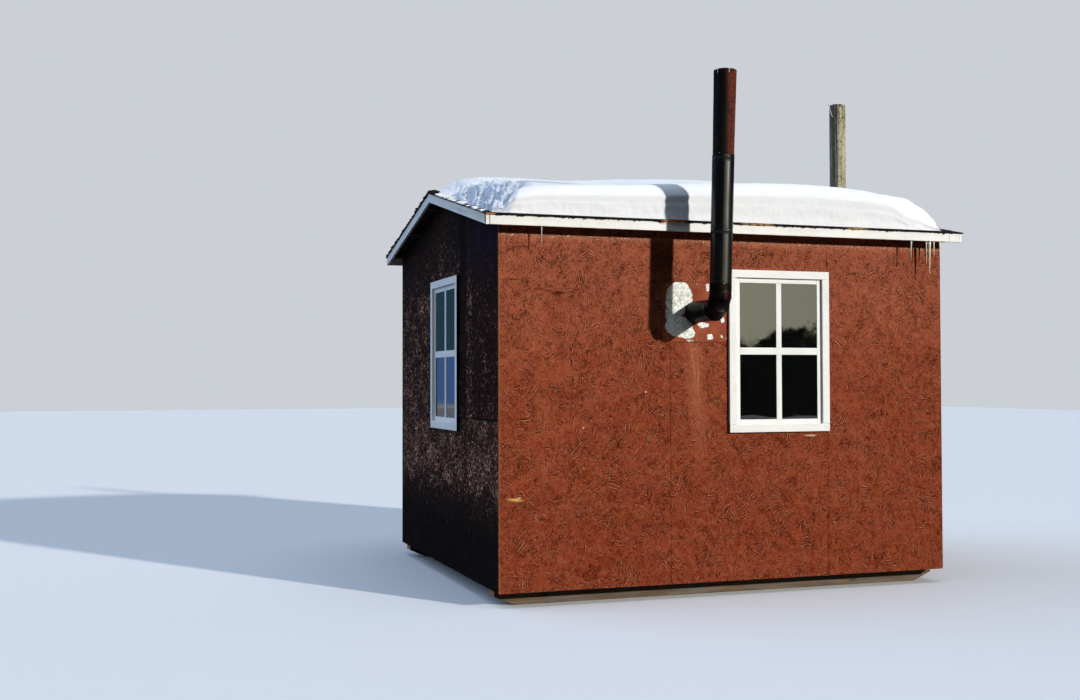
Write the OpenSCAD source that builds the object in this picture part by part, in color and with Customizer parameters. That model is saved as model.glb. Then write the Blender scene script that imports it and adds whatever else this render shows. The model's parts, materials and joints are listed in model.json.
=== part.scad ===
// Ice fishing hut: a painted sheathed box on two runners, with a gable roof under settled snow,
// two four-pane windows, a plain door, a stove pipe that stands off the long wall and a round mast.
// Millimetres, +Z up. The long wall with the pipe faces -Y and the gable with the window faces -X.

/* [Body] */
// outside length of the long walls
hut_l = 3395; // [3300:5:4200]
// outside depth of the gable walls
hut_d = 2860; // [2400:5:3600]
// height of the wall plates above the ground
wall_top = 2515; // [2450:5:2800]
// thickness of the wall sheets
sheet_t = 11; // [8:0.5:18]
// width of one whole wall sheet
sheet_w = 1220; // [1000:10:1250]
// open joint between two wall sheets
seam_gap = 2; // [0.5:0.5:5]
// narrow side of the framing timber
stud_w = 38; // [30:1:50]
// deep side of the wall framing timber
stud_d = 64; // [50:1:100]
// spacing of the studs
stud_pitch = 610; // [400:10:620]
// first joint on the window gable, from the front corner
strip_w = 648; // [500:1:700]
// height of the lower piece of the corner strip
strip_low = 1118; // [900:1:1300]
// height of the middle piece of the corner strip
strip_mid = 1097; // [900:1:1150]

/* [Floor] */
// height of the runners
runner_h = 100; // [80:1:160]
// width of the runners
runner_w = 120; // [80:1:200]
// how far the runners stand in from the long walls
runner_in = 200; // [100:5:230]
// length of the slanted end of a runner
runner_nose = 150; // [60:5:300]
// height of the floor joists
joist_h = 89; // [70:1:140]
// thickness of the floor boards
floor_t = 15; // [12:1:22]
// size of a fishing hole along the hut
hole_l = 420; // [300:5:500]
// size of a fishing hole across the hut
hole_w = 320; // [200:5:400]
// how far the fishing holes stand in from the back wall
hole_in = 335; // [325:5:600]

/* [Roof] */
// slope of the roof
roof_pitch = 12.67; // [8:0.01:25]
// overhang at the eaves, to the face of the fascia
eave_over = 105; // [80:1:250]
// overhang at the gables, to the face of the rake board
gable_over = 114; // [80:1:250]
// thickness of the roof sheets
deck_t = 11; // [8:0.5:18]
// depth of the rafters
rafter_h = 64; // [50:1:140]
// depth of the ridge board
ridge_h = 89; // [70:1:140]
// thickness of the fascia boards
fascia_t = 19; // [12:1:25]
// height of the fascia boards
fascia_h = 66; // [50:1:120]
// thickness of the rake boards
rake_t = 20; // [12:1:25]
// height of the rake boards, square to the slope
rake_h = 66; // [50:1:120]
// thickness of one shingle
shingle_t = 3; // [2:0.5:6]
// height of one shingle course along the slope
shingle_step = 142; // [100:1:200]
// how far the shingles reach past the boards
shingle_over = 10; // [5:1:25]
// reach of the ridge shingles down each slope
ridge_w = 150; // [100:5:250]

/* [Snow] */
// depth of the snow at the ridge by the window gable
snow_left = 60; // [40:1:120]
// depth of the snow at the ridge by the mast gable
snow_right = 202; // [120:1:260]
// how early the snow deepens towards the mast gable, 1 is even
snow_curve = 0.51; // [0.4:0.01:1.2]
// extra depth along the eaves, as a share of the depth at the ridge
snow_swell = 0.65; // [0:0.01:1]
// height of the steep edge at the eaves, as a share of the depth above it
snow_edge = 0.5; // [0.2:0.01:0.9]
// reach of the rounding above the steep edge
snow_round = 130; // [40:5:400]
// reach of the rounding at the window gable
snow_round_left = 331; // [100:1:600]
// reach of the rounding at the mast gable
snow_round_right = 1438; // [300:1:1800]
// least depth of the snow
snow_rim = 14; // [8:1:40]
// how far the snow stands in from the eaves
snow_in = 4; // [2:1:80]
// how far the snow stands in from the rake of the window gable
snow_in_left = 29; // [10:1:120]
// how far the snow stands in from the wall face of the mast gable
snow_in_right = 10; // [0:1:400]

/* [Windows] */
// width of the cut window opening
win_w = 700; // [400:5:760]
// height of the cut window opening
win_h = 1041; // [600:1:1100]
// height of the bottom of the window openings above the ground
win_z = 1163; // [900:1:1200]
// distance of the front window opening from the first joint of the wall sheets
win_off = 482; // [480:1:500]
// front edge of the gable window opening, from the long front wall
win_y = 1015; // [760:1:1100]
// thickness of the boards that line the window openings
jamb_t = 15; // [10:1:20]
// width of the outside casing boards
casing_w = 54; // [40:1:90]
// thickness of the outside casing boards
casing_t = 22; // [15:1:30]
// how far a casing board covers the cut edge of its opening
casing_lap = 11; // [5:1:14]
// how far the sash stands in from the wall face, less than 0 is proud of it
sash_in = -4; // [-8:1:25]
// thickness of the sash
sash_t = 30; // [20:1:40]
// width of the sash stiles
stile_w = 30; // [20:1:45]
// width of the upright bar between the panes
bar_w = 41; // [20:1:60]
// height of the level bar between the panes
cross_w = 49; // [20:1:60]
// thickness of the window glass
glass_t = 3; // [2:0.5:6]

/* [Door] */
// width of the door leaf
door_w = 760; // [600:5:900]
// height of the door leaf
door_h = 1880; // [1700:5:1950]
// thickness of the door leaf
door_t = 36; // [25:1:45]
// distance of the door opening from the first joint of the wall sheets
door_off = 80; // [60:5:280]
// play around the door leaf
door_play = 3; // [2:0.5:6]
// height of a ledge across the inside of the door
ledge_h = 140; // [80:5:200]
// distance of a ledge from the nearer end of the door
ledge_in = 150; // [60:5:300]
// distance of a hinge from the nearer end of the door
hinge_in = 220; // [100:5:400]
// length of a hinge strap on the door
strap_l = 297; // [150:1:500]
// height of a hinge strap
strap_h = 40; // [20:1:60]
// height of a hinge plate on the casing
plate_v = 90; // [60:1:140]
// thickness of the hinge iron
iron_t = 4; // [3:0.5:6]
// height of the lower end of the door pull above the foot of the door
pull_z = 930; // [700:5:1100]
// length of the door pull
pull_h = 220; // [120:5:300]

/* [Stove pipe] */
// outer diameter of the pipe
pipe_d = 146; // [100:1:152]
// wall of the pipe
pipe_wall = 1.5; // [1:0.1:3]
// distance of the pipe from the first joint of the wall sheets
pipe_off = 183; // [130:1:200]
// height of the level run
pipe_z = 1947; // [1700:1:2000]
// distance of the upright run from the wall face
pipe_out = 385; // [300:1:500]
// radius of the bend
bend_r = 115; // [90:1:150]
// lean of the upright run towards the mast
pipe_lean = 1.74; // [0:0.01:3]
// length of the collar above the bend
collar_h = 50; // [30:1:80]
// length of the lowest upright section
low_h = 362; // [200:1:600]
// length of the middle upright section
mid_h = 488; // [300:1:700]
// length of the top section
top_h = 565; // [300:1:700]
// outer diameter of the open top
top_d = 151; // [145:1:160]
// length of pipe that one section slides into the next
slip_h = 38; // [25:1:60]
// play between two sections that slide into each other
slip_play = 0.4; // [0.2:0.1:1]
// length of the pipe inside the wall face
inner_h = 260; // [120:5:400]
// width of the metal plate around the pipe
plate_w = 489; // [300:1:520]
// height of the metal plate around the pipe
plate_h = 413; // [250:1:500]
// thickness of the metal plate
plate_t = 1.5; // [1:0.1:3]

/* [Mast] */
// diameter of the mast
mast_d = 142; // [100:1:180]
// height of the top of the mast above the ground
mast_top = 3875; // [3000:5:4400]
// height of the lower end of the mast above the ground
mast_foot = 350; // [150:5:800]
// distance of the mast from the long front wall
mast_y = 1700; // [1500:5:1900]
// height of the lower block above the ground
block_low = 800; // [600:5:1200]
// height of the upper block above the ground
block_high = 2150; // [1700:5:2300]
// side of the timber blocks
block_w = 140; // [100:1:180]

/* [Hidden] */
$fn = 96;
fit = 0.3;
pt = tan(roof_pitch);
pc = cos(roof_pitch);
gap_mast = shingle_over + 8;
mast_r = mast_d / 2;
mast_x = hut_l + gable_over + gap_mast + mast_r;
x_lo = -(gable_over + shingle_over);
x_hi = mast_x + mast_r;
bead_h = 2;
y_lo = -(pipe_out + max(pipe_d / 2 + bead_h, top_d / 2));
y_hi = hut_d + eave_over + shingle_over;
x_mid = (x_lo + x_hi) / 2;
y_mid = (y_lo + y_hi) / 2;
wall_in = sheet_t + fit;
frame_in = wall_in + stud_d;
floor_z = runner_h + fit + joist_h + fit + floor_t;
sole_z = floor_z + fit;
stud_z0 = sole_z + stud_w + fit;
stud_z1 = wall_top - stud_w - fit;
half_d = hut_d / 2;
win_x = sheet_w + win_off;
door_x = sheet_w + door_off;
pipe_x = sheet_w + pipe_off;
side_top = under_z(0) - fit;
casing_out = casing_w - casing_lap;
jamb_in = jamb_t + fit;
door_open_w = door_w + 2 * (door_play + jamb_in);
door_open_h = door_h + 2 * door_play + jamb_in;
door_z = floor_z + fit;
pipe_r = pipe_d / 2;
bore_r = pipe_r - pipe_wall;
spigot_r = bore_r - slip_play;
up_z0 = bend_r + collar_h;
gore_reach = (bend_r + pipe_r) * tan(15) + 20;
lap_z = shingle_t * 2 + 0.5;

// heights over a distance y from the front wall face, on the front slope
function under_z(y) = wall_top + (y - frame_in) * pt;
function deck_low(y) = under_z(y) + rafter_h / pc + fit;
function deck_z(y) = deck_low(y) + deck_t / pc;
function shingle_z(y) = deck_z(y) + fit + lap_z / pc;

module hut() {
  translate([-x_mid, -y_mid, 0])
    children();
}

module box(x0, x1, y0, y1, z0, z1) {
  translate([x0, y0, z0])
    cube([x1 - x0, y1 - y0, z1 - z0]);
}

// the same shape on the other slope of the roof
module both_slopes() {
  children();
  translate([0, hut_d, 0])
    mirror([0, 1, 0])
      children();
}

// a profile drawn in y and z, run along x
module run_x(x0, x1) {
  translate([x0, 0, 0])
    rotate([90, 0, 90])
      linear_extrude(x1 - x0)
        children();
}

module runner(y) {
  translate([0, y + runner_w / 2, 0])
    rotate([90, 0, 0])
      linear_extrude(runner_w)
        polygon([
          [runner_nose, 0],
          [hut_l - runner_nose, 0],
          [hut_l - 10, runner_h * 0.6],
          [hut_l - 10, runner_h],
          [10, runner_h],
          [10, runner_h * 0.6]
        ]);
}

module runners() {
  color([0.42, 0.33, 0.24])
    hut() {
      runner(runner_in);
      runner(hut_d - runner_in);
    }
}

module floor_frame() {
  z0 = runner_h + fit;
  z1 = z0 + joist_h;
  n = floor((hut_l - 2 * wall_in - stud_w) / stud_pitch);
  step = (hut_l - 2 * wall_in - stud_w) / (n + 1);
  color([0.62, 0.5, 0.34])
    hut() {
      for (y = [wall_in, hut_d - wall_in - stud_w])
        box(wall_in, hut_l - wall_in, y, y + stud_w, z0, z1);
      for (i = [0 : n + 1])
        translate([wall_in + i * step, wall_in + stud_w + fit, z0])
          cube([stud_w, hut_d - 2 * (wall_in + stud_w + fit), joist_h]);
    }
}

// floor boards, in rows that leave the two fishing holes free
module floor_boards() {
  n = floor((hut_l - 2 * wall_in - stud_w) / stud_pitch);
  step = (hut_l - 2 * wall_in - stud_w) / (n + 1);
  z0 = floor_z - floor_t;
  y1 = hut_d - wall_in - hole_in;
  y0 = y1 - hole_w;
  xa = wall_in + stud_w + step + (step - stud_w - hole_l) / 2;
  xb = wall_in + stud_w + 3 * step + (step - stud_w - hole_l) / 2;
  color([0.66, 0.54, 0.38])
    hut() {
      box(wall_in, hut_l - wall_in, wall_in, y0, z0, floor_z);
      box(wall_in, hut_l - wall_in, y1, hut_d - wall_in, z0, floor_z);
      box(wall_in, xa, y0 + fit, y1 - fit, z0, floor_z);
      box(xa + hole_l, xb, y0 + fit, y1 - fit, z0, floor_z);
      box(xb + hole_l, hut_l - wall_in, y0 + fit, y1 - fit, z0, floor_z);
    }
}

module wall_plates() {
  x0 = wall_in;
  x1 = hut_l - wall_in;
  door_x1 = door_x + door_open_w;
  color([0.62, 0.5, 0.34])
    hut() {
      for (z = [sole_z, wall_top - stud_w]) {
        box(x0, x1, wall_in, frame_in, z, z + stud_w);
        for (x = [x0, x1 - stud_d])
          box(x, x + stud_d, frame_in + fit, hut_d - frame_in - fit, z, z + stud_w);
      }
      box(x0, x1, hut_d - frame_in, hut_d - wall_in, wall_top - stud_w, wall_top);
      box(x0, door_x - fit, hut_d - frame_in, hut_d - wall_in, sole_z, sole_z + stud_w);
      box(door_x1 + fit, x1, hut_d - frame_in, hut_d - wall_in, sole_z, sole_z + stud_w);
    }
}

module stud_x(x, y0, z0, z1) {
  box(x, x + stud_w, y0, y0 + stud_d, z0, z1);
}

module front_studs() {
  x1 = win_x + win_w;
  z1 = win_z + win_h;
  y0 = wall_in;
  color([0.66, 0.54, 0.38])
    hut() {
      stud_x(wall_in, y0, stud_z0, stud_z1);
      stud_x(stud_pitch, y0, stud_z0, stud_z1);
      stud_x(sheet_w - stud_w / 2, y0, stud_z0, stud_z1);
      stud_x(win_x - stud_w - fit, y0, stud_z0, stud_z1);
      stud_x(x1 + fit, y0, stud_z0, stud_z1);
      stud_x((x1 + hut_l) / 2, y0, stud_z0, stud_z1);
      stud_x(hut_l - wall_in - stud_w, y0, stud_z0, stud_z1);
      box(win_x, x1, y0, y0 + stud_d, win_z - fit - stud_w, win_z - fit);
      box(win_x, x1, y0, y0 + stud_d, z1 + fit, z1 + fit + stud_w);
      stud_x((win_x + x1 - stud_w) / 2, y0, stud_z0, win_z - 2 * fit - stud_w);
      stud_x((win_x + x1 - stud_w) / 2, y0, z1 + 2 * fit + stud_w, stud_z1);
    }
}

module back_studs() {
  x1 = door_x + door_open_w;
  z1 = door_z + door_open_h;
  y0 = hut_d - frame_in;
  color([0.66, 0.54, 0.38])
    hut() {
      stud_x(wall_in, y0, stud_z0, stud_z1);
      stud_x(stud_pitch, y0, stud_z0, stud_z1);
      stud_x(door_x - stud_w - fit, y0, stud_z0, stud_z1);
      stud_x(x1 + fit, y0, stud_z0, stud_z1);
      stud_x((x1 + hut_l) / 2, y0, stud_z0, stud_z1);
      stud_x(hut_l - wall_in - stud_w, y0, stud_z0, stud_z1);
      box(door_x, x1, y0, y0 + stud_d, z1 + fit, z1 + fit + stud_w);
      stud_x((door_x + x1 - stud_w) / 2, y0, z1 + 2 * fit + stud_w, stud_z1);
    }
}

module stud_y(x0, y, z0, z1) {
  box(x0, x0 + stud_d, y, y + stud_w, z0, z1);
}

module left_studs() {
  y1 = win_y + win_w;
  z1 = win_z + win_h;
  x0 = wall_in;
  color([0.66, 0.54, 0.38])
    hut() {
      stud_y(x0, frame_in + fit, stud_z0, stud_z1);
      stud_y(x0, strip_w - stud_w / 2, stud_z0, stud_z1);
      stud_y(x0, win_y - stud_w - fit, stud_z0, stud_z1);
      stud_y(x0, y1 + fit, stud_z0, stud_z1);
      stud_y(x0, (y1 + hut_d) / 2, stud_z0, stud_z1);
      stud_y(x0, hut_d - frame_in - fit - stud_w, stud_z0, stud_z1);
      box(x0, x0 + stud_d, win_y, y1, win_z - fit - stud_w, win_z - fit);
      box(x0, x0 + stud_d, win_y, y1, z1 + fit, z1 + fit + stud_w);
      stud_y(x0, (win_y + y1 - stud_w) / 2, stud_z0, win_z - 2 * fit - stud_w);
      stud_y(x0, (win_y + y1 - stud_w) / 2, z1 + 2 * fit + stud_w, stud_z1);
    }
}

module right_studs() {
  x0 = hut_l - wall_in - stud_d;
  n = floor((hut_d - 2 * (frame_in + fit) - stud_w) / stud_pitch);
  step = (hut_d - 2 * (frame_in + fit) - stud_w) / (n + 1);
  color([0.66, 0.54, 0.38])
    hut()
      for (i = [0 : n + 1])
        stud_y(x0, frame_in + fit + i * step, stud_z0, stud_z1);
}

module front_sheets() {
  color([0.5, 0.25, 0.17])
    hut()
      difference() {
        for (i = [0 : ceil(hut_l / sheet_w) - 1])
          box(
            i * sheet_w + (i == 0 ? 0 : seam_gap / 2),
            min(hut_l, (i + 1) * sheet_w - seam_gap / 2),
            0, sheet_t, runner_h, side_top
          );
        box(win_x, win_x + win_w, -1, sheet_t + 1, win_z, win_z + win_h);
        translate([pipe_x, -1, pipe_z])
          rotate([-90, 0, 0])
            cylinder(h = sheet_t + 2, r = pipe_r + fit);
      }
}

module back_sheets() {
  color([0.45, 0.22, 0.15])
    hut()
      difference() {
        for (i = [0 : ceil(hut_l / sheet_w) - 1])
          box(
            i * sheet_w + (i == 0 ? 0 : seam_gap / 2),
            min(hut_l, (i + 1) * sheet_w - seam_gap / 2),
            hut_d - sheet_t, hut_d, runner_h, side_top
          );
        box(door_x, door_x + door_open_w, hut_d - 20, hut_d + 1, door_z, door_z + door_open_h);
      }
}

// the outline of a gable wall, from y0 to y1
module gable_piece(y0, y1, z0, z1) {
  intersection() {
    polygon([
      [wall_in, runner_h],
      [hut_d - wall_in, runner_h],
      [hut_d - wall_in, deck_low(wall_in) - fit],
      [half_d, deck_low(half_d) - fit],
      [wall_in, deck_low(wall_in) - fit]
    ]);
    translate([y0, z0])
      square([y1 - y0, z1 - z0]);
  }
}

module left_sheets() {
  g = seam_gap / 2;
  top = wall_top + half_d;
  z1 = runner_h + strip_low;
  z2 = z1 + strip_mid;
  y2 = strip_w + sheet_w;
  color([0.25, 0.15, 0.14])
    hut()
      run_x(0, sheet_t)
        difference() {
          union() {
            gable_piece(0, strip_w - g, 0, z1 - g);
            gable_piece(0, strip_w - g, z1 + g, z2 - g);
            gable_piece(0, strip_w - g, z2 + g, top);
            gable_piece(strip_w + g, y2 - g, 0, top);
            gable_piece(y2 + g, hut_d, 0, top);
          }
          translate([win_y, win_z])
            square([win_w, win_h]);
        }
}

module right_sheets() {
  g = seam_gap / 2;
  top = wall_top + half_d;
  color([0.3, 0.17, 0.14])
    hut()
      run_x(hut_l - sheet_t, hut_l) {
        gable_piece(0, sheet_w - g, 0, top);
        gable_piece(sheet_w + g, 2 * sheet_w - g, 0, top);
        gable_piece(2 * sheet_w + g, hut_d, 0, top);
      }
}

// four boards round an opening w by h, standing in x and z, with their front faces at y 0
module four_boards(w, h, inner, outer, t) {
  for (z = [-outer, h - inner])
    translate([-outer, 0, z])
      cube([w + 2 * outer, t, outer + inner]);
  for (x = [-outer, w - inner])
    translate([x, 0, inner + fit])
      cube([outer + inner, t, h - 2 * (inner + fit)]);
}

// places what is drawn for the front window, or turns it to the gable
module at_front() {
  hut()
    translate([win_x, 0, win_z])
      children();
}

module at_left() {
  hut()
    translate([0, win_y + win_w, win_z])
      rotate([0, 0, -90])
        children();
}

module win_casing() {
  color([0.88, 0.87, 0.82])
    translate([0, -casing_t - fit, 0])
      four_boards(win_w, win_h, casing_lap, casing_out, casing_t);
}

module win_jamb() {
  color([0.86, 0.85, 0.8])
    four_boards(win_w, win_h, jamb_in, -fit, frame_in - fit);
}

module win_sash() {
  a = jamb_in + fit;
  color([0.9, 0.89, 0.85])
    translate([0, sash_in, 0])
      difference() {
        sash_bars(a);
        for (i = [0, 1], k = [0, 1])
          win_pane(i, k, (sash_t - glass_t) / 2 - fit, glass_t + 2 * fit, 6 + fit);
      }
}

// two stiles, two rails and the bars between the panes
module sash_bars(a) {
  x1 = win_w - a - stile_w;
  mid_x = (win_w - bar_w) / 2;
  mid_z = (win_h - cross_w) / 2;
  for (x = [a, x1])
    translate([x, 0, a])
      cube([stile_w, sash_t, win_h - 2 * a]);
  for (z = [a, win_h - a - stile_w])
    translate([a + stile_w + fit, 0, z])
      cube([x1 - a - stile_w - 2 * fit, sash_t, stile_w]);
  translate([a + stile_w + fit, 0, mid_z])
    cube([x1 - a - stile_w - 2 * fit, sash_t, cross_w]);
  for (z = [a + stile_w + fit, mid_z + cross_w + fit])
    translate([mid_x, 0, z])
      cube([bar_w, sash_t, mid_z - a - stile_w - 2 * fit]);
}

// the edges of one pane's glass
module win_pane(i, k, y, t, edge = 0) {
  a = jamb_in + fit + stile_w;
  w = (win_w - 2 * a - bar_w) / 2;
  h = (win_h - 2 * a - cross_w) / 2;
  translate([a + i * (w + bar_w) - edge, y, a + k * (h + cross_w) - edge])
    cube([w + 2 * edge, t, h + 2 * edge]);
}

module win_glass() {
  color([0.5, 0.6, 0.65, 0.4])
    for (i = [0, 1], k = [0, 1])
      win_pane(i, k, sash_in + (sash_t - glass_t) / 2, glass_t, 6);
}

module front_casing() {
  at_front()
    win_casing();
}

module front_jamb() {
  at_front()
    win_jamb();
}

module front_sash() {
  at_front()
    win_sash();
}

module front_glass() {
  at_front()
    win_glass();
}

module left_casing() {
  at_left()
    win_casing();
}

module left_jamb() {
  at_left()
    win_jamb();
}

module left_sash() {
  at_left()
    win_sash();
}

module left_glass() {
  at_left()
    win_glass();
}

// the door stands in the back wall, seen from behind the hut
module door_jamb() {
  x1 = door_x + door_open_w;
  z1 = door_z + door_open_h;
  y0 = hut_d - frame_in;
  color([0.86, 0.85, 0.8])
    hut() {
      box(door_x + fit, door_x + jamb_in, y0, hut_d, door_z + 0.2, z1 - jamb_in - fit);
      box(x1 - jamb_in, x1 - fit, y0, hut_d, door_z + 0.2, z1 - jamb_in - fit);
      box(door_x + fit, x1 - fit, y0, hut_d, z1 - jamb_in, z1 - fit);
    }
}

module door_casing() {
  x1 = door_x + door_open_w;
  z1 = door_z + door_open_h;
  y0 = hut_d + fit;
  color([0.88, 0.87, 0.82])
    hut() {
      box(door_x - casing_out, door_x + casing_lap, y0, y0 + casing_t, door_z, z1 - casing_lap - fit);
      box(x1 - casing_lap, x1 + casing_out, y0, y0 + casing_t, door_z, z1 - casing_lap - fit);
      box(door_x - casing_out, x1 + casing_out, y0, y0 + casing_t, z1 - casing_lap, z1 + casing_out);
    }
}

module door_leaf() {
  x0 = door_x + jamb_in + door_play;
  z0 = door_z + door_play;
  color([0.5, 0.25, 0.17])
    hut() {
      box(x0, x0 + door_w, hut_d - door_t, hut_d, z0, z0 + door_h);
      for (z = [z0 + ledge_in, z0 + door_h - ledge_in - ledge_h])
        box(x0 + 30, x0 + door_w - 30, hut_d - door_t - stud_w, hut_d - door_t - fit, z, z + ledge_h);
    }
}

module door_hinges() {
  xk = door_x + casing_lap + 6;
  z0 = door_z + door_play;
  y0 = hut_d + fit + casing_t + fit;
  half_p = plate_v / 2;
  half_s = strap_h / 2;
  color([0.15, 0.15, 0.15])
    hut()
      for (z = [z0 + hinge_in, z0 + door_h - hinge_in]) {
        box(door_x - casing_out + 8, xk, y0, y0 + iron_t - 1, z - half_p, z + half_p);
        translate([xk, y0 + 1, z - half_p])
          cylinder(h = plate_v, r = iron_t + 1);
        box(xk - 2, xk + iron_t, hut_d + 1, y0 + 1, z - half_s, z + half_s);
        box(xk, xk + strap_l + 31, hut_d + fit, hut_d + fit + iron_t, z - half_s, z + half_s);
      }
}

module door_pull() {
  x0 = door_x + jamb_in + door_play + door_w - 90;
  z0 = door_z + pull_z;
  y0 = hut_d + fit;
  color([0.15, 0.15, 0.15])
    hut() {
      box(x0, x0 + 34, y0, y0 + iron_t, z0, z0 + pull_h);
      for (z = [z0 + 35, z0 + pull_h - 35])
        translate([x0 + 17, y0 + iron_t - 1, z])
          rotate([-90, 0, 0])
            cylinder(h = 45, r = 6);
      translate([x0 + 17, y0 + iron_t + 44, z0 + 29])
        cylinder(h = pull_h - 58, r = 7);
    }
}

module rafter_profile() {
  y0 = -eave_over + fascia_t + fit;
  zf = deck_z(-eave_over) - fascia_h;
  difference() {
    polygon([
      [y0, under_z(y0)],
      [half_d - stud_w / 2 - fit, under_z(half_d - stud_w / 2 - fit)],
      [half_d - stud_w / 2 - fit, deck_low(half_d - stud_w / 2 - fit) - fit],
      [y0, deck_low(y0) - fit]
    ]);
    translate([wall_in - fit, wall_top - 200])
      square([stud_d + fit, 200 + fit]);
    translate([y0 - 1, zf - 200])
      square([-y0 + 1 - fit, 200]);
  }
}

module rafters() {
  x0 = wall_in;
  n = round((hut_l - 2 * wall_in - stud_w) / stud_pitch);
  step = (hut_l - 2 * wall_in - stud_w) / n;
  color([0.66, 0.54, 0.38])
    hut()
      both_slopes()
        for (i = [0 : n])
          run_x(x0 + i * step, x0 + i * step + stud_w)
            rafter_profile();
}

module ridge_board() {
  z1 = deck_low(half_d - stud_w / 2) - fit;
  color([0.62, 0.5, 0.34])
    hut()
      box(wall_in, hut_l - wall_in, half_d - stud_w / 2, half_d + stud_w / 2, z1 - ridge_h, z1);
}

// short blocks that carry the roof sheet and the rake board past each gable
module lookouts() {
  span = (half_d + eave_over) / pc;
  color([0.6, 0.48, 0.32])
    hut()
      both_slopes()
        for (x = [-gable_over + rake_t + fit, hut_l + fit])
          for (s = [0.12, 0.5, 0.88])
            translate([x, -eave_over, deck_low(-eave_over) - fit])
              rotate([roof_pitch, 0, 0])
                translate([0, s * span - stud_w / 2, -50])
                  cube([gable_over - rake_t - 2 * fit, stud_w, 50]);
}

module roof_deck() {
  y0 = -eave_over + fascia_t + fit;
  color([0.6, 0.47, 0.3])
    hut()
      both_slopes()
        run_x(-gable_over + rake_t + fit, hut_l + gable_over - rake_t - fit)
          polygon([
            [y0, deck_low(y0)],
            [half_d - fit, deck_low(half_d - fit)],
            [half_d - fit, deck_z(half_d - fit)],
            [y0, deck_z(y0)]
          ]);
}

module fascia(y_mirror) {
  z1 = deck_z(-eave_over);
  z2 = deck_z(-eave_over + fascia_t);
  y0 = -eave_over;
  color([0.9, 0.9, 0.86])
    hut()
      translate([0, y_mirror ? hut_d : 0, 0])
        mirror([0, y_mirror ? 1 : 0, 0])
          run_x(-gable_over + rake_t + fit, hut_l + gable_over - rake_t - fit)
            polygon([[y0, z1 - fascia_h], [y0 + fascia_t, z1 - fascia_h], [y0 + fascia_t, z2], [y0, z1]]);
}

module fascia_front() {
  fascia(false);
}

module fascia_back() {
  fascia(true);
}

module rake(x0) {
  y0 = -eave_over;
  color([0.8, 0.82, 0.86])
    hut()
      both_slopes()
        run_x(x0, x0 + rake_t)
          polygon([
            [y0, deck_z(y0)],
            [y0, deck_z(y0) - rake_h / pc],
            [half_d - fit, deck_z(half_d) - rake_h / pc],
            [half_d - fit, deck_z(half_d)]
          ]);
}

module rake_left() {
  rake(-gable_over);
}

module rake_right() {
  rake(hut_l + gable_over - rake_t);
}

// courses of shingles, each lying on the one below it
module shingle_slope() {
  len = (half_d + eave_over + shingle_over) / pc;
  n = ceil(len / shingle_step) - 1;
  step = shingle_step;
  color([0.12, 0.11, 0.1])
    run_x(x_lo, hut_l + gable_over + shingle_over)
      intersection() {
        translate([-eave_over, deck_z(-eave_over) + fit])
          rotate(roof_pitch)
            translate([-shingle_over / pc, 0])
              for (i = [0 : n])
                polygon([
                  [i * step, 0],
                  [i * step, shingle_t * 2],
                  [(i + 1) * step - fit, shingle_t],
                  [(i + 1) * step - fit, 0]
                ]);
        translate([-eave_over - shingle_over, 0])
          square([half_d + eave_over + shingle_over - fit / 2, 6000]);
      }
}

module shingles_front() {
  hut()
    shingle_slope();
}

module shingles_back() {
  hut()
    translate([0, hut_d, 0])
      mirror([0, 1, 0])
        shingle_slope();
}

module ridge_shingles() {
  w = ridge_w;
  y1 = half_d - fit / 2;
  color([0.13, 0.12, 0.11])
    hut()
      both_slopes()
        run_x(x_lo, hut_l + gable_over + shingle_over)
          polygon([
            [half_d - w, shingle_z(half_d - w) + fit],
            [y1, shingle_z(y1) + fit],
            [y1, shingle_z(y1) + fit + shingle_t],
            [half_d - w, shingle_z(half_d - w) + fit + shingle_t]
          ]);
}

// the settled snow: a closed skin over the whole roof, rounded to its rim
snow_x0 = -gable_over + snow_in_left;
snow_x1 = hut_l - snow_in_right;
snow_y0 = -eave_over + snow_in;
snow_nx = 26;
snow_ny = 22;

function ease(d, w) = d <= 0 ? 0 : d >= w ? 1 : sqrt(1 - pow(1 - d / w, 2));
function roof_line(y) = shingle_z(y < half_d ? y : hut_d - y) + fit * 2 + shingle_t;
function snow_depth(x, y) =
  let(
    in = min(y, hut_d - y) - snow_y0,
    k = min(1, max(0, (x - snow_x0) / (snow_x1 - snow_x0))),
    ridge = snow_left + (snow_right - snow_left) * pow(k, snow_curve),
    far = min(1, max(0, in / (half_d * 0.98))),
    full = ridge * (1 + snow_swell * pow(1 - far, 1.5))
  )
  max(
    snow_rim,
    full
      * (snow_edge + (1 - snow_edge) * ease(in, snow_round))
      * ease(x - snow_x0, snow_round_left)
      * ease(snow_x1 - x, snow_round_right)
  );
function spread(i, n) = (1 - cos(180 * i / n)) / 2 * 0.85 + i / n * 0.15;
function snow_px(i) = snow_x0 + (snow_x1 - snow_x0) * spread(i, snow_nx);
function snow_py(j) = snow_y0 + (hut_d - 2 * snow_y0) * spread(j, snow_ny);

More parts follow.
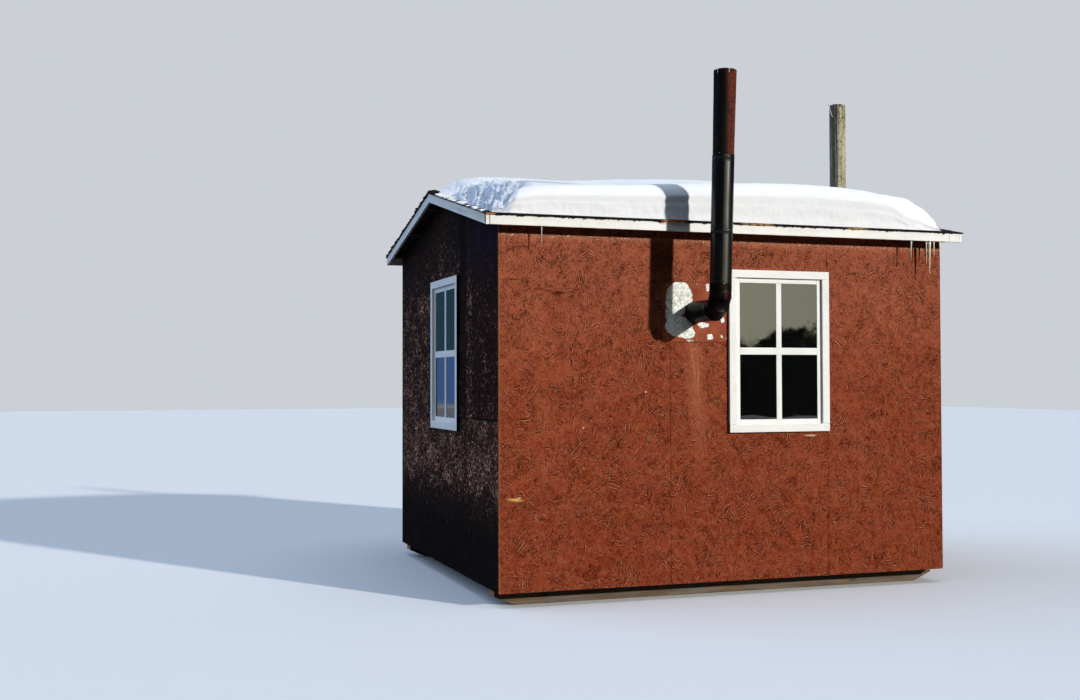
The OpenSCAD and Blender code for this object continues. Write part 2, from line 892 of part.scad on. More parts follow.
module roof_snow() {
  row = snow_ny + 1;
  top = [for (i = [0 : snow_nx]) for (j = [0 : snow_ny])
    [snow_px(i), snow_py(j), roof_line(snow_py(j)) + snow_depth(snow_px(i), snow_py(j))]];
  low = [for (i = [0 : snow_nx]) for (j = [0 : snow_ny])
    [snow_px(i), snow_py(j), roof_line(snow_py(j))]];
  m = len(top);
  color([0.93, 0.95, 0.98])
    hut()
      polyhedron(
        points = concat(top, low),
        faces = concat(
          [for (i = [0 : snow_nx - 1]) for (j = [0 : snow_ny - 1]) each [
            [i * row + j, i * row + j + 1, (i + 1) * row + j],
            [(i + 1) * row + j, i * row + j + 1, (i + 1) * row + j + 1],
            [m + i * row + j, m + (i + 1) * row + j, m + i * row + j + 1],
            [m + (i + 1) * row + j, m + (i + 1) * row + j + 1, m + i * row + j + 1]
          ]],
          [for (i = [0 : snow_nx - 1]) each [
            [i * row, (i + 1) * row, m + i * row],
            [(i + 1) * row, m + (i + 1) * row, m + i * row],
            [i * row + snow_ny, m + i * row + snow_ny, (i + 1) * row + snow_ny],
            [(i + 1) * row + snow_ny, m + i * row + snow_ny, m + (i + 1) * row + snow_ny]
          ]],
          [for (j = [0 : snow_ny - 1]) each [
            [j, m + j, j + 1],
            [j + 1, m + j, m + j + 1],
            [snow_nx * row + j, snow_nx * row + j + 1, m + snow_nx * row + j],
            [snow_nx * row + j + 1, m + snow_nx * row + j + 1, m + snow_nx * row + j]
          ]]
        )
      );
}

module pipe_plate() {
  color([0.55, 0.3, 0.22])
    hut()
      difference() {
        translate([pipe_x - plate_w / 2, -fit - plate_t, pipe_z - plate_h / 2])
          cube([plate_w, plate_t, plate_h]);
        translate([pipe_x, 0, pipe_z])
          rotate([90, 0, 0])
            cylinder(h = 20, r = pipe_r + fit, center = true);
      }
}

// places what is drawn with the bend's outlet upright, swivelled on the level run
module swivel() {
  hut()
    translate([pipe_x, 0, pipe_z])
      rotate([0, pipe_lean, 0])
        children();
}

module tube(h, r, bore) {
  difference() {
    cylinder(h = h, r = r);
    translate([0, 0, -1])
      cylinder(h = h + 2, r = bore);
  }
}

module pipe_inlet() {
  len = inner_h + pipe_out - bend_r;
  color([0.06, 0.06, 0.06])
    hut()
      translate([pipe_x, inner_h, pipe_z])
        rotate([90, 0, 0])
          tube(len - fit, pipe_r, bore_r);
}

// places what is drawn along +Z on the axis of one straight piece of the bend
module along(k) {
  rotate([0, 0, 30 * k])
    translate([bend_r, 0, 0])
      rotate([-90, 0, 0])
        children();
}

// the space between two mitre planes, half a joint clear of each
module wedge(a0, a1) {
  big = 2 * bend_r + 4 * pipe_r;
  mid = (a0 + a1) / 2;
  inset = fit / 2 / sin((a1 - a0) / 2);
  translate([inset * cos(mid), inset * sin(mid), -2 * pipe_r])
    linear_extrude(4 * pipe_r)
      polygon([
        [0, 0],
        [big * cos(a0), big * sin(a0)],
        [big * cos(mid), big * sin(mid)],
        [big * cos(a1), big * sin(a1)]
      ]);
}

// a bead rolled into a piece, a little way in from its mitre plane at angle a
module gore_bead(k, a, side) {
  intersection() {
    along(k)
      translate([0, 0, -gore_reach])
        cylinder(h = 2 * gore_reach, r = pipe_r + bead_h);
    rotate([0, 0, a])
      translate([0, side > 0 ? 1.2 : -4.2, -2 * pipe_r])
        cube([2 * bend_r + 2 * pipe_r, 3, 4 * pipe_r]);
  }
}

// one of the mitred pieces of the bend; the last one carries the ribbed collar
module gore(k) {
  first = k == 0;
  last = k == 3;
  a0 = first ? -60 : 30 * k - 15;
  a1 = last ? 150 : 30 * k + 15;
  z0 = first ? 0 : -gore_reach;
  z1 = last ? collar_h - fit : gore_reach;
  difference() {
    union() {
      intersection() {
        along(k)
          translate([0, 0, z0])
            cylinder(h = z1 - z0, r = pipe_r);
        wedge(a0, a1);
      }
      if (!first)
        gore_bead(k, a0, 1);
      if (!last)
        gore_bead(k, a1, -1);
      if (last)
        along(k)
          collar();
    }
    along(k)
      translate([0, 0, -gore_reach - 1])
        cylinder(h = 2 * gore_reach + collar_h + slip_h, r = last ? spigot_r - pipe_wall : bore_r);
  }
}

module collar() {
  cylinder(h = collar_h + slip_h, r = spigot_r);
  for (z = [14, 26, 38])
    translate([0, 0, z])
      rotate_extrude()
        translate([pipe_r - 1, 0])
          circle(r = bead_h + 1, $fn = 24);
}

// the turning bend: four mitred pieces with a bead on each side of every joint
module pipe_elbow() {
  color([0.07, 0.06, 0.06])
    swivel()
      translate([0, -pipe_out + bend_r, bend_r])
        rotate([0, 90, 180])
          for (k = [0 : 3])
            gore(k);
}

module section(z, h, r0, r1, spigot) {
  translate([0, -pipe_out, z])
    difference() {
      union() {
        cylinder(h = h, r1 = r0, r2 = r1);
        if (spigot)
          translate([0, 0, -slip_h])
            cylinder(h = slip_h + 1, r = spigot_r);
      }
      translate([0, 0, -slip_h - 1])
        cylinder(h = slip_h + 1, r = spigot_r - pipe_wall);
      cylinder(h = h + 1, r1 = spigot ? spigot_r - pipe_wall : bore_r, r2 = r1 - pipe_wall);
    }
}

module pipe_low() {
  color([0.06, 0.06, 0.06])
    swivel()
      section(up_z0, low_h - fit, pipe_r, pipe_r, false);
}

module pipe_mid() {
  color([0.07, 0.07, 0.07])
    swivel()
      section(up_z0 + low_h, mid_h - fit, pipe_r, pipe_r, false);
}

// the rusted top section flares a little and has a slit rim
module pipe_top() {
  color([0.28, 0.15, 0.1])
    swivel()
      difference() {
        section(up_z0 + low_h + mid_h, top_h, spigot_r + pipe_wall, top_d / 2, true);
        translate([0, -pipe_out, up_z0 + low_h + mid_h + top_h])
          for (a = [15, 78, 141, 199, 262, 325])
            rotate([0, 0, a])
              translate([top_d / 2 - 12, -1.5, -24])
                cube([24, 3, 30]);
      }
}

module mast() {
  color([0.47, 0.43, 0.34])
    hut()
      translate([mast_x, mast_y, mast_foot]) {
        cylinder(h = mast_top - mast_foot - 12, r = mast_r);
        translate([0, 0, mast_top - mast_foot - 12])
          cylinder(h = 12, r1 = mast_r, r2 = mast_r - 9);
      }
}

// timber blocks, hollowed to the mast, between it and the gable wall
module mast_blocks() {
  color([0.5, 0.4, 0.28])
    hut()
      difference() {
        for (z = [block_low, block_high])
          box(hut_l + fit, mast_x - mast_r / 2, mast_y - block_w / 2, mast_y + block_w / 2, z, z + block_w);
        translate([mast_x, mast_y, 0])
          cylinder(h = mast_top, r = mast_r + fit);
      }
}

runners();
floor_frame();
floor_boards();
wall_plates();
front_studs();
back_studs();
left_studs();
right_studs();
front_sheets();
back_sheets();
left_sheets();
right_sheets();
front_casing();
front_jamb();
front_sash();
front_glass();
left_casing();
left_jamb();
left_sash();
left_glass();
door_jamb();
door_casing();
door_leaf();
door_hinges();
door_pull();
rafters();
ridge_board();
lookouts();
roof_deck();
fascia_front();
fascia_back();
rake_left();
rake_right();
shingles_front();
shingles_back();
ridge_shingles();
roof_snow();
pipe_plate();
pipe_inlet();
pipe_elbow();
pipe_low();
pipe_mid();
pipe_top();
mast();
mast_blocks();
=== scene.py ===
"""Ice fishing hut: a sheathed timber box on two runners, with a snow-covered gable roof, two
four-pane windows, a plain door, a stove pipe that stands off the long wall and a round mast."""
import json
import math
import random
import bmesh
import bpy
from mathutils import Matrix, Vector, noise as field

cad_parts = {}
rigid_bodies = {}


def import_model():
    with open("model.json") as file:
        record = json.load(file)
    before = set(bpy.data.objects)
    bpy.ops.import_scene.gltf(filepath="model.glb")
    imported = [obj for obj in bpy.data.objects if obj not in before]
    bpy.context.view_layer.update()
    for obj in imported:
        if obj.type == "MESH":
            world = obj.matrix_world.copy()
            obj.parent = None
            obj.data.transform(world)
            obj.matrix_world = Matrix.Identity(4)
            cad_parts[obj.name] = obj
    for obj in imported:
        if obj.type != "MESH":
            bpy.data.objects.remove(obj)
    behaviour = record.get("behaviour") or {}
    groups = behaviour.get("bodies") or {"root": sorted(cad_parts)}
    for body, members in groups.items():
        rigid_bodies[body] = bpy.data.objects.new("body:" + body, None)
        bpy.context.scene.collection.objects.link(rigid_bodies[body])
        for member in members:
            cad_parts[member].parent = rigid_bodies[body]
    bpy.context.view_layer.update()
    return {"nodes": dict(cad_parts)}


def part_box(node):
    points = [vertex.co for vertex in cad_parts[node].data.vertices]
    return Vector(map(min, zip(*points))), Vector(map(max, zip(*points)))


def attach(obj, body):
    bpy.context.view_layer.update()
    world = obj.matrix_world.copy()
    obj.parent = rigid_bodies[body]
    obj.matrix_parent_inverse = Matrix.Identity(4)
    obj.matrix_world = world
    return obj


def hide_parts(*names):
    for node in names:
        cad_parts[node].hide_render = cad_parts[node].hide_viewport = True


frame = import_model()


# RUNNERS: two spruce skids, 120 x 100 mm, sawn, slanted at both ends so that the hut can be
# towed over ice. Raw timber gone grey, dark with wet, spiked to the floor joists from above.

# The front corner of the window gable, from which the places below are measured.
corner_x, corner_y = -1.7725, -1.25725


def at(x, y, z):
    """A point given from the front corner of the window gable, in the frame of the part."""
    return Vector((x + corner_x, y + corner_y, z))


def paint(r, g, b):
    """An everyday 0-255 colour as the shader wants it."""
    def linear(v):
        return v / 3294.6 if v <= 10.3 else ((v / 255 + 0.055) / 1.055) ** 2.4
    return linear(r), linear(g), linear(b), 1.0


def put(tree, kind, ins=(), **props):
    """A new node with its settings, its inputs given as values or as the sockets they come from."""
    n = tree.nodes.new(kind)
    for key, value in props.items():
        setattr(n, key, value)
    for key, value in (ins.items() if isinstance(ins, dict) else enumerate(ins)):
        if isinstance(value, bpy.types.NodeSocket):
            tree.links.new(value, n.inputs[key])
        elif value is not None:
            n.inputs[key].default_value = value
    return n


def wire(tree, value, socket):
    tree.links.new(value, socket)


def mix(tree, fac, a, b, blend="MIX"):
    return put(tree, "ShaderNodeMix", {0: fac, 6: a, 7: b}, data_type="RGBA", blend_type=blend).outputs[2]


def calc(tree, op, *ins, clamp=False):
    return put(tree, "ShaderNodeMath", ins, operation=op, use_clamp=clamp).outputs[0]


def times(tree, a, b, clamp=False):
    return calc(tree, "MULTIPLY", a, b, clamp=clamp)


def plus(tree, a, b):
    return calc(tree, "ADD", a, b)


def minus(tree, a, b):
    return calc(tree, "SUBTRACT", a, b)


def span(tree, value, lo, hi, to_lo=0.0, to_hi=1.0):
    """A value carried from one range to another and held at its ends."""
    return put(tree, "ShaderNodeMapRange", (value, lo, hi, to_lo, to_hi)).outputs[0]


def in_place(tree):
    """The place on the object, in metres."""
    return put(tree, "ShaderNodeTexCoord").outputs["Object"]


def laid_out(tree):
    """The place on the piece's own flat layout, in metres along and across its grain."""
    return put(tree, "ShaderNodeUVMap", uv_map="grain").outputs[0]


def marked(tree, name):
    """A mark that the mesh carries."""
    return put(tree, "ShaderNodeAttribute", attribute_name=name).outputs["Fac"]


def parts(tree, vector):
    return put(tree, "ShaderNodeSeparateXYZ", (vector,)).outputs


def whole(tree, x, y, z=0.0):
    return put(tree, "ShaderNodeCombineXYZ", (x, y, z)).outputs[0]


def moved_by(tree, vector, way):
    return put(tree, "ShaderNodeVectorMath", (vector, way), operation="ADD").outputs[0]


def sized(tree, vector, size):
    return put(tree, "ShaderNodeVectorMath", {0: vector, 3: size}, operation="SCALE").outputs[0]


def cells(tree, where, scale=1.0):
    """Scattered cells in the plane, each with three random numbers of its own."""
    found = put(tree, "ShaderNodeTexVoronoi", {"Vector": where, "Scale": scale}, voronoi_dimensions="2D")
    return put(tree, "ShaderNodeSeparateColor", (found.outputs["Color"],)).outputs


def cloud(tree, where, scale, detail=3.0, rough=0.55, bend=0.0):
    ins = {"Vector": where, "Scale": scale, "Detail": detail, "Roughness": rough, "Distortion": bend}
    return put(tree, "ShaderNodeTexNoise", ins).outputs[0]


def stretch(tree, where, size, turn=0.0, shift=(0, 0, 0)):
    """Coordinates turned about Z and then divided by size, so a pattern is that long and wide."""
    ins = {0: where, 1: shift, 2: (0, 0, turn), 3: size}
    return put(tree, "ShaderNodeMapping", ins, vector_type="TEXTURE").outputs[0]


def bump(tree, height, distance, strength=1.0, under=None):
    ins = {"Strength": strength, "Distance": distance, "Height": height, "Normal": under}
    return put(tree, "ShaderNodeBump", ins).outputs[0]


def effect(name, ins, outs):
    """A shader node group with named sockets, and the sockets inside it."""
    g = bpy.data.node_groups.new(name, "ShaderNodeTree")
    for label, kind, value in ins:
        s = g.interface.new_socket(label, in_out="INPUT", socket_type="NodeSocket" + kind)
        s.default_value = value
    for label, kind in outs:
        g.interface.new_socket(label, in_out="OUTPUT", socket_type="NodeSocket" + kind)
    return g, g.nodes.new("NodeGroupInput").outputs, g.nodes.new("NodeGroupOutput").inputs


def use(tree, g, **ins):
    """The outputs of a node group put into this tree."""
    n = tree.nodes.new("ShaderNodeGroup")
    n.node_tree = g
    for key, value in ins.items():
        if isinstance(value, bpy.types.NodeSocket):
            tree.links.new(value, n.inputs[key])
        else:
            n.inputs[key].default_value = value
    return n.outputs


def finish(name, rough=0.6, metal=0.0, spec=0.5):
    """A new material, its tree and its main shader."""
    m = bpy.data.materials.new(name)
    m.use_nodes = True
    b = m.node_tree.nodes["Principled BSDF"]
    b.inputs["Roughness"].default_value = rough
    b.inputs["Metallic"].default_value = metal
    b.inputs["Specular IOR Level"].default_value = spec
    return m, m.node_tree, b


def grain_effect():
    """Sawn softwood: long fibres along U, year rings as slow bands, and knots that part them."""
    g, i, o = effect("sawn_grain", [("Where", "Vector", (0, 0, 0)), ("Fibre", "Float", 1.0)],
                     [("Bands", "Float"), ("Fibres", "Float"), ("Knots", "Float")])
    ins = {"Vector": stretch(g, i["Where"], (0.42, 0.16, 1)), "Scale": 1.0}
    knots = put(g, "ShaderNodeTexVoronoi", ins, voronoi_dimensions="2D").outputs["Distance"]
    near = span(g, knots, 0.03, 0.16, 1.0, 0.0)
    slow = cloud(g, stretch(g, i["Where"], (0.9, 0.035, 1)), 1.0, 2.0, 0.5, 0.6)
    rings = calc(g, "SINE", plus(g, times(g, slow, 26.0), times(g, near, 5.0)))
    fine = cloud(g, stretch(g, i["Where"], (0.22, 0.0022, 1)), 1.0, 3.0, 0.6)
    wire(g, span(g, rings, -1.0, 1.0), o["Bands"])
    wire(g, times(g, fine, i["Fibre"]), o["Fibres"])
    wire(g, calc(g, "POWER", near, 2.0), o["Knots"])
    return g


sawn_grain = grain_effect()


def timber(name, pale, dark, rough=0.75, grey=0.0):
    """Raw sawn timber; grey is how far the weather has taken its colour."""
    m, t, b = finish(name, rough, spec=0.3)
    where = laid_out(t)
    g = use(t, sawn_grain, Where=where)
    base = mix(t, span(t, g["Bands"], 0.1, 1.0, 0.0, 0.75), pale, dark)
    base = mix(t, span(t, g["Fibres"], 0.35, 0.7, 0.35, 0.0), base, dark)
    base = mix(t, g["Knots"], base, (dark[0] * 0.35, dark[1] * 0.3, dark[2] * 0.25, 1))
    stain = cloud(t, where, 3.0, 4.0, 0.6)
    base = mix(t, span(t, stain, 0.42, 0.75, 0.0, 0.5 + 0.4 * grey), base, (0.16, 0.15, 0.14, 1))
    wire(t, base, b.inputs["Base Color"])
    wire(t, bump(t, plus(t, g["Fibres"], g["Bands"]), 0.0006, 0.7), b.inputs["Normal"])
    return m


def cut_end(name, pale, dark):
    """End grain: rings round a heart outside the board, with drying checks."""
    m, t, b = finish(name, 0.85, spec=0.2)
    where = laid_out(t)
    ins = {"Vector": where, "Scale": 38.0, "Distortion": 3.0, "Detail": 2.0}
    rings = put(t, "ShaderNodeTexWave", ins, wave_type="RINGS", rings_direction="Z").outputs[1]
    base = mix(t, rings, pale, dark)
    checks = cloud(t, stretch(t, where, (0.05, 0.004, 1), 0.8), 1.0, 2.0)
    base = mix(t, span(t, checks, 0.62, 0.72), base, (0.03, 0.02, 0.015, 1))
    wire(t, base, b.inputs["Base Color"])
    wire(t, bump(t, checks, 0.001, 0.5), b.inputs["Normal"])
    return m


def islands(bm):
    """The separate solids of a mesh, as lists of faces."""
    seen, groups = set(), []
    for start in bm.faces:
        if start in seen:
            continue
        seen.add(start)
        todo, group = [start], []
        while todo:
            f = todo.pop()
            group.append(f)
            for e in f.edges:
                for other in e.link_faces:
                    if other not in seen:
                        seen.add(other)
                        todo.append(other)
        groups.append(group)
    return groups


def joined_copy(node):
    """The node's mesh with its loose triangles joined."""
    bm = bmesh.new()
    bm.from_mesh(frame["nodes"][node].data)
    bmesh.ops.remove_doubles(bm, verts=bm.verts, dist=2e-5)
    return bm


def clean_copy(node):
    """The node's mesh, joined, and its flat faces made whole."""
    bm = joined_copy(node)
    bmesh.ops.dissolve_limit(bm, angle_limit=0.01, verts=bm.verts, edges=bm.edges)
    return bm


def sharp_edges(bm, least=0.4):
    return [e for e in bm.edges if len(e.link_faces) == 2 and e.calc_face_angle(0) > least]


def eased(bm, edges, offset, rounds=2):
    """Rounds the edges and gives back the new faces, where paint and fibres wear first."""
    made = bmesh.ops.bevel(bm, geom=edges, offset=offset, segments=rounds, profile=0.6, affect="EDGES",
                           clamp_overlap=True)
    return set(made["faces"])


def lay_grain(bm, worn, seed, axis=None):
    """The grain along each board from its own place in the log, end grain on the cut ends, and
    a mark on the worn faces. The boards run along axis, or else along their longest edge."""
    grain = bm.loops.layers.uv.new("grain")
    edge = bm.loops.layers.float_color.new("edge")
    rng = random.Random(seed)
    for group in islands(bm):
        if axis is None:
            long = max((e for f in group for e in f.edges), key=lambda e: e.calc_length())
            run = (long.verts[1].co - long.verts[0].co).normalized()
        else:
            run = Vector(axis)
        u0, v0 = rng.uniform(0, 40), rng.uniform(0, 40)
        for f in group:
            cut = abs(f.normal.dot(run)) > 0.7
            f.material_index = 1 if cut else 0
            a = f.normal.orthogonal().normalized() if cut else run
            side = f.normal.cross(a)
            wear = 1.0 if f in worn else 0.0
            for loop in f.loops:
                p = loop.vert.co
                loop[grain].uv = (p.dot(a) + u0, p.dot(side) + v0)
                loop[edge] = (wear, wear, wear, 1)


def add(name, mesh, slot, *nodes):
    """A visible piece that rides on the hut and stands for the nodes it is named with."""
    o = bpy.data.objects.new(name, mesh)
    bpy.context.scene.collection.objects.link(o)
    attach(o, "root")
    if nodes:
        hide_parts(*nodes)
    return o


def keep(bm, name, slot, skins, *nodes):
    """Makes the worked mesh a piece with its finishes."""
    mesh = bpy.data.meshes.new(name)
    bm.to_mesh(mesh)
    bm.free()
    for skin in skins:
        mesh.materials.append(skin)
    return add(name, mesh, slot, *nodes)


def boards(node, slot, skin, end, ease=0.0015, seed=1, axis=None):
    """Boards as sawn, with eased edges and their own grain."""
    bm = clean_copy(node)
    worn = eased(bm, sharp_edges(bm), ease)
    for f in bm.faces:
        f.smooth = False
    lay_grain(bm, worn, seed, axis)
    return keep(bm, node + "_sawn", slot, (skin, end), node)


runner_timber = timber("runner_timber", paint(128, 106, 80), paint(84, 66, 48), 0.85, 1.0)
fresh_end = cut_end("cut_end", paint(176, 142, 98), paint(128, 92, 54))
boards("runners", "runner_wood", runner_timber, fresh_end, 0.004, 3)


# FLOOR: 38 x 89 mm joists on the runners and 15 mm spruce boards on them, with two openings
# for the holes in the ice. Raw timber, nailed.
framing_timber = timber("framing_timber", paint(205, 172, 122), paint(168, 126, 78))
floor_timber = timber("floor_timber", paint(178, 148, 108), paint(130, 98, 64), 0.7, 0.6)
boards("floor_frame", "timber", framing_timber, fresh_end, 0.002, 5)
boards("floor_boards", "floor_wood", floor_timber, fresh_end, 0.0015, 7, (1, 0, 0))


# WALL FRAMING: 38 x 64 mm plates and studs, a stud behind each joint of the sheets, and
# headers and sills round the openings. Raw spruce, nailed; seen only through the panes.
for number, name in enumerate(("wall_plates", "front_studs", "back_studs", "left_studs", "right_studs")):
    boards(name, "timber", framing_timber, fresh_end, 0.002, 11 + number)


# WALL SHEETS: 11 mm strand board, 1220 mm wide, painted brick red with a brush and weathered.
# The strands telegraph through the paint as fine strokes, their dark and light lines painted
# shade and highlight; chips show the primer and the wood.
def strand_effect():
    """Strand board: flat chips some 90 x 18 mm in every direction, the topmost one showing."""
    g, i, o = effect("strands", [("Where", "Vector", (0, 0, 0))], [("Height", "Float"), ("Tone", "Float")])
    sway = put(g, "ShaderNodeTexNoise", {"Vector": i["Where"], "Scale": 22.0, "Detail": 2.0}).outputs[1]
    bent = moved_by(g, i["Where"], sized(g, sway, 0.010))
    top = tone = None
    for k, turn in enumerate((0.2, 1.35, 2.3, 0.85, 2.85, 1.8)):
        where = stretch(g, bent, (0.085, 0.017, 1), turn, (0.13 * k, 0.07 * k, 0))
        rgb = cells(g, where)
        if top is None:
            top, tone = rgb[0], rgb[1]
        else:
            over = calc(g, "GREATER_THAN", rgb[0], top)
            tone = put(g, "ShaderNodeMix", {0: over, 2: tone, 3: rgb[1]}).outputs[0]
            top = calc(g, "MAXIMUM", top, rgb[0])
    wire(g, top, o["Height"])
    wire(g, tone, o["Tone"])
    return g


def stroke_effect():
    """Fine strokes where the edges of strands lift or sink: the dark ones are painted shade in the
    sunken edges, and the light line beside each is a painted highlight on the lifted edge. Each
    strand, one cell of a scattered grid, has its strokes at its own angle."""
    given = [("Where", "Vector", (0, 0, 0)), ("Shift", "Float", 0.0), ("Strand", "Float", 0.09),
             ("Long", "Float", 0.05), ("Wide", "Float", 0.0068), ("Least", "Float", 0.6)]
    g, i, o = effect("strokes", given, [("Dark", "Float"), ("Pale", "Float")])
    moved = moved_by(g, i["Where"], whole(g, i["Shift"], i["Shift"]))
    own = cells(g, unsettle(g, moved, 30.0, 0.022), calc(g, "DIVIDE", 1.0, i["Strand"]))
    spin = {"Vector": moved, "Angle": times(g, own[0], 6.283)}
    turned = put(g, "ShaderNodeVectorRotate", spin, rotation_type="Z_AXIS").outputs[0]
    part = parts(g, turned)
    least = plus(g, i["Least"], times(g, minus(g, own[1], 0.5), 0.16))
    least = plus(g, least, times(g, minus(g, 0.5, cloud(g, moved, 6.0, 3.0, 0.65)), 0.56))
    found = []
    for aside in (0.0, 0.85):
        across = plus(g, calc(g, "DIVIDE", part[1], i["Wide"]), aside)
        grid = whole(g, calc(g, "DIVIDE", part[0], i["Long"]), across, own[2])
        found.append(cloud(g, grid, 1.0, 1.0, 0.5, 0.45))
    rise = times(g, minus(g, found[0], least), 12.0, clamp=True)
    beside = times(g, minus(g, found[1], plus(g, least, 0.02)), 12.0, clamp=True)
    wire(g, rise, o["Dark"])
    wire(g, times(g, beside, minus(g, 1.0, rise)), o["Pale"])
    return g


def mark(t, flat, x, z, rx, rz, turn=0.0, soft=0.25):
    """A mask over one oval spot of a flat surface: its centre, half its width and height, its
    turn, and how softly it ends."""
    inside = stretch(t, flat, (rx, rz, 1), turn, (x, z, 0))
    d = put(t, "ShaderNodeVectorMath", (inside,), operation="LENGTH").outputs["Value"]
    return span(t, d, 1.0 + soft, 1.0 - soft, 0.0, 1.0)


def touch_up(t, c, shaken, spots):
    """The colour with each spot painted over it; a spot also has its strength and colour."""
    for x, z, rx, rz, turn, soft, amount, colour in spots:
        c = mix(t, times(t, mark(t, shaken, x, z, rx, rz, turn, soft), amount), c, colour)
    return c


def unsettle(t, flat, scale, amount):
    """The same coordinates shaken, so that the outline of a mark is uneven."""
    ins = {"Vector": flat, "Scale": scale, "Detail": 4.0, "Roughness": 0.6}
    sway = put(t, "ShaderNodeTexNoise", ins).outputs[1]
    sway = put(t, "ShaderNodeVectorMath", (sway, (0.5, 0.5, 0.5)), operation="SUBTRACT").outputs[0]
    return moved_by(t, flat, sized(t, sway, amount))


strands = strand_effect()
strokes = stroke_effect()
# Each wall starts this much further along in the pattern, so that no two walls are alike.
sheet_step = 5.0


def sheet_paint(name, base, deep, light, wood, dark_line, marks=(), corner=None, chipped=0.0):
    """Brushed paint over strand board, on the sheet's own UV in metres (U level, V up). corner is
    the U of a pale strip, a painted highlight of the sunlit edge there, and chipped is how far the
    top edge has lost it."""
    m, t, b = finish(name, 0.85, spec=0.02)
    where = laid_out(t)
    s = use(t, strands, Where=where)
    drawn = []
    for shift, strand, long, wide, least in (
            (3.1, 0.058, 0.052, 0.0062, 0.652),
            (5.3, 0.095, 0.080, 0.0074, 0.675),
            (11.7, 0.046, 0.042, 0.0056, 0.656),
            (7.9, 0.030, 0.024, 0.0044, 0.652),
            (14.2, 0.036, 0.030, 0.0046, 0.658)):
        one = use(t, strokes, Where=where, Shift=shift, Strand=strand, Long=long, Wide=wide, Least=least)
        drawn.append(one)
    dark = calc(t, "MAXIMUM", calc(t, "MAXIMUM", drawn[0]["Dark"], drawn[1]["Dark"]), drawn[2]["Dark"])
    tiny = calc(t, "MAXIMUM", drawn[3]["Dark"], drawn[4]["Dark"])
    pale = calc(t, "MAXIMUM", drawn[0]["Pale"], drawn[1]["Pale"])
    rim = parts(t, where)
    big = cloud(t, where, 1.3, 4.0, 0.6)
    mid = cloud(t, where, 7.0, 4.0, 0.65)
    c = mix(t, span(t, big, 0.3, 0.7, 0.0, 0.7), base, deep)
    c = mix(t, span(t, mid, 0.42, 0.70, 0.0, 0.75), c, deep)
    c = mix(t, span(t, rim[1], 2.3, 0.4, 0.0, 0.75), c, deep)
    c = mix(t, span(t, rim[1], 1.5, 2.4, 0.0, 0.35), c, paint(180, 108, 84))
    c = mix(t, span(t, s["Tone"], 0.0, 1.0, 0.0, 0.14), c, light)
    worked = calc(t, "MAXIMUM", dark, tiny)
    c = mix(t, span(t, cloud(t, where, 16.0, 4.0, 0.7), 0.50, 0.70, 0.0, 0.50), c, paint(104, 40, 22))
    # Painted highlights on the lifted strand edges, then painted shade in the sunken ones.
    c = mix(t, times(t, pale, 0.60), c, light)
    c = mix(t, times(t, tiny, 0.80), c, dark_line)
    c = mix(t, times(t, dark, 0.78), c, dark_line)
    speck = cloud(t, where, 95.0, 2.0, 0.5)
    pits = times(t, span(t, speck, 0.62, 0.68), span(t, mid, 0.35, 0.55), clamp=True)
    c = mix(t, times(t, pits, 0.8), c, dark_line)
    glint = times(t, span(t, cloud(t, where, 110.0, 2.0, 0.6), 0.64, 0.69), 0.24)
    c = mix(t, glint, c, wood)
    chip = cloud(t, stretch(t, where, (0.022, 0.007, 1), 0.5), 1.0, 3.0, 0.7, 0.4)
    top = times(t, span(t, rim[1], 2.395, 2.432, 0.0, chipped), span(t, rim[1], 2.452, 2.448, 0.0, 1.0))
    low = span(t, rim[1], 0.30, 0.12, 0.0, 1.0)
    edge = marked(t, "edge")
    ease = plus(t, times(t, top, 0.20), times(t, plus(t, edge, low), 0.10))
    bare = span(t, plus(t, chip, ease), 0.75, 0.79)
    c = mix(t, times(t, top, 0.25), c, light)
    c = mix(t, bare, c, wood)
    c = touch_up(t, c, unsettle(t, where, 34.0, 0.020), marks)
    # A pale strip along the front corner: painted highlight of the sunlit sheet edge.
    if corner:
        c = mix(t, span(t, rim[0], corner + 0.0125, corner + 0.0105, 0.0, 0.40), c, paint(176, 104, 68))
    wire(t, c, b.inputs["Base Color"])
    wire(t, span(t, mid, 0.3, 0.7, 0.75, 0.95), b.inputs["Roughness"])
    fine = bump(t, s["Height"], 0.0012, 0.45)
    cut = minus(t, minus(t, pale, worked), bare)
    wire(t, bump(t, cut, 0.0018, 1.0, fine), b.inputs["Normal"])
    return m


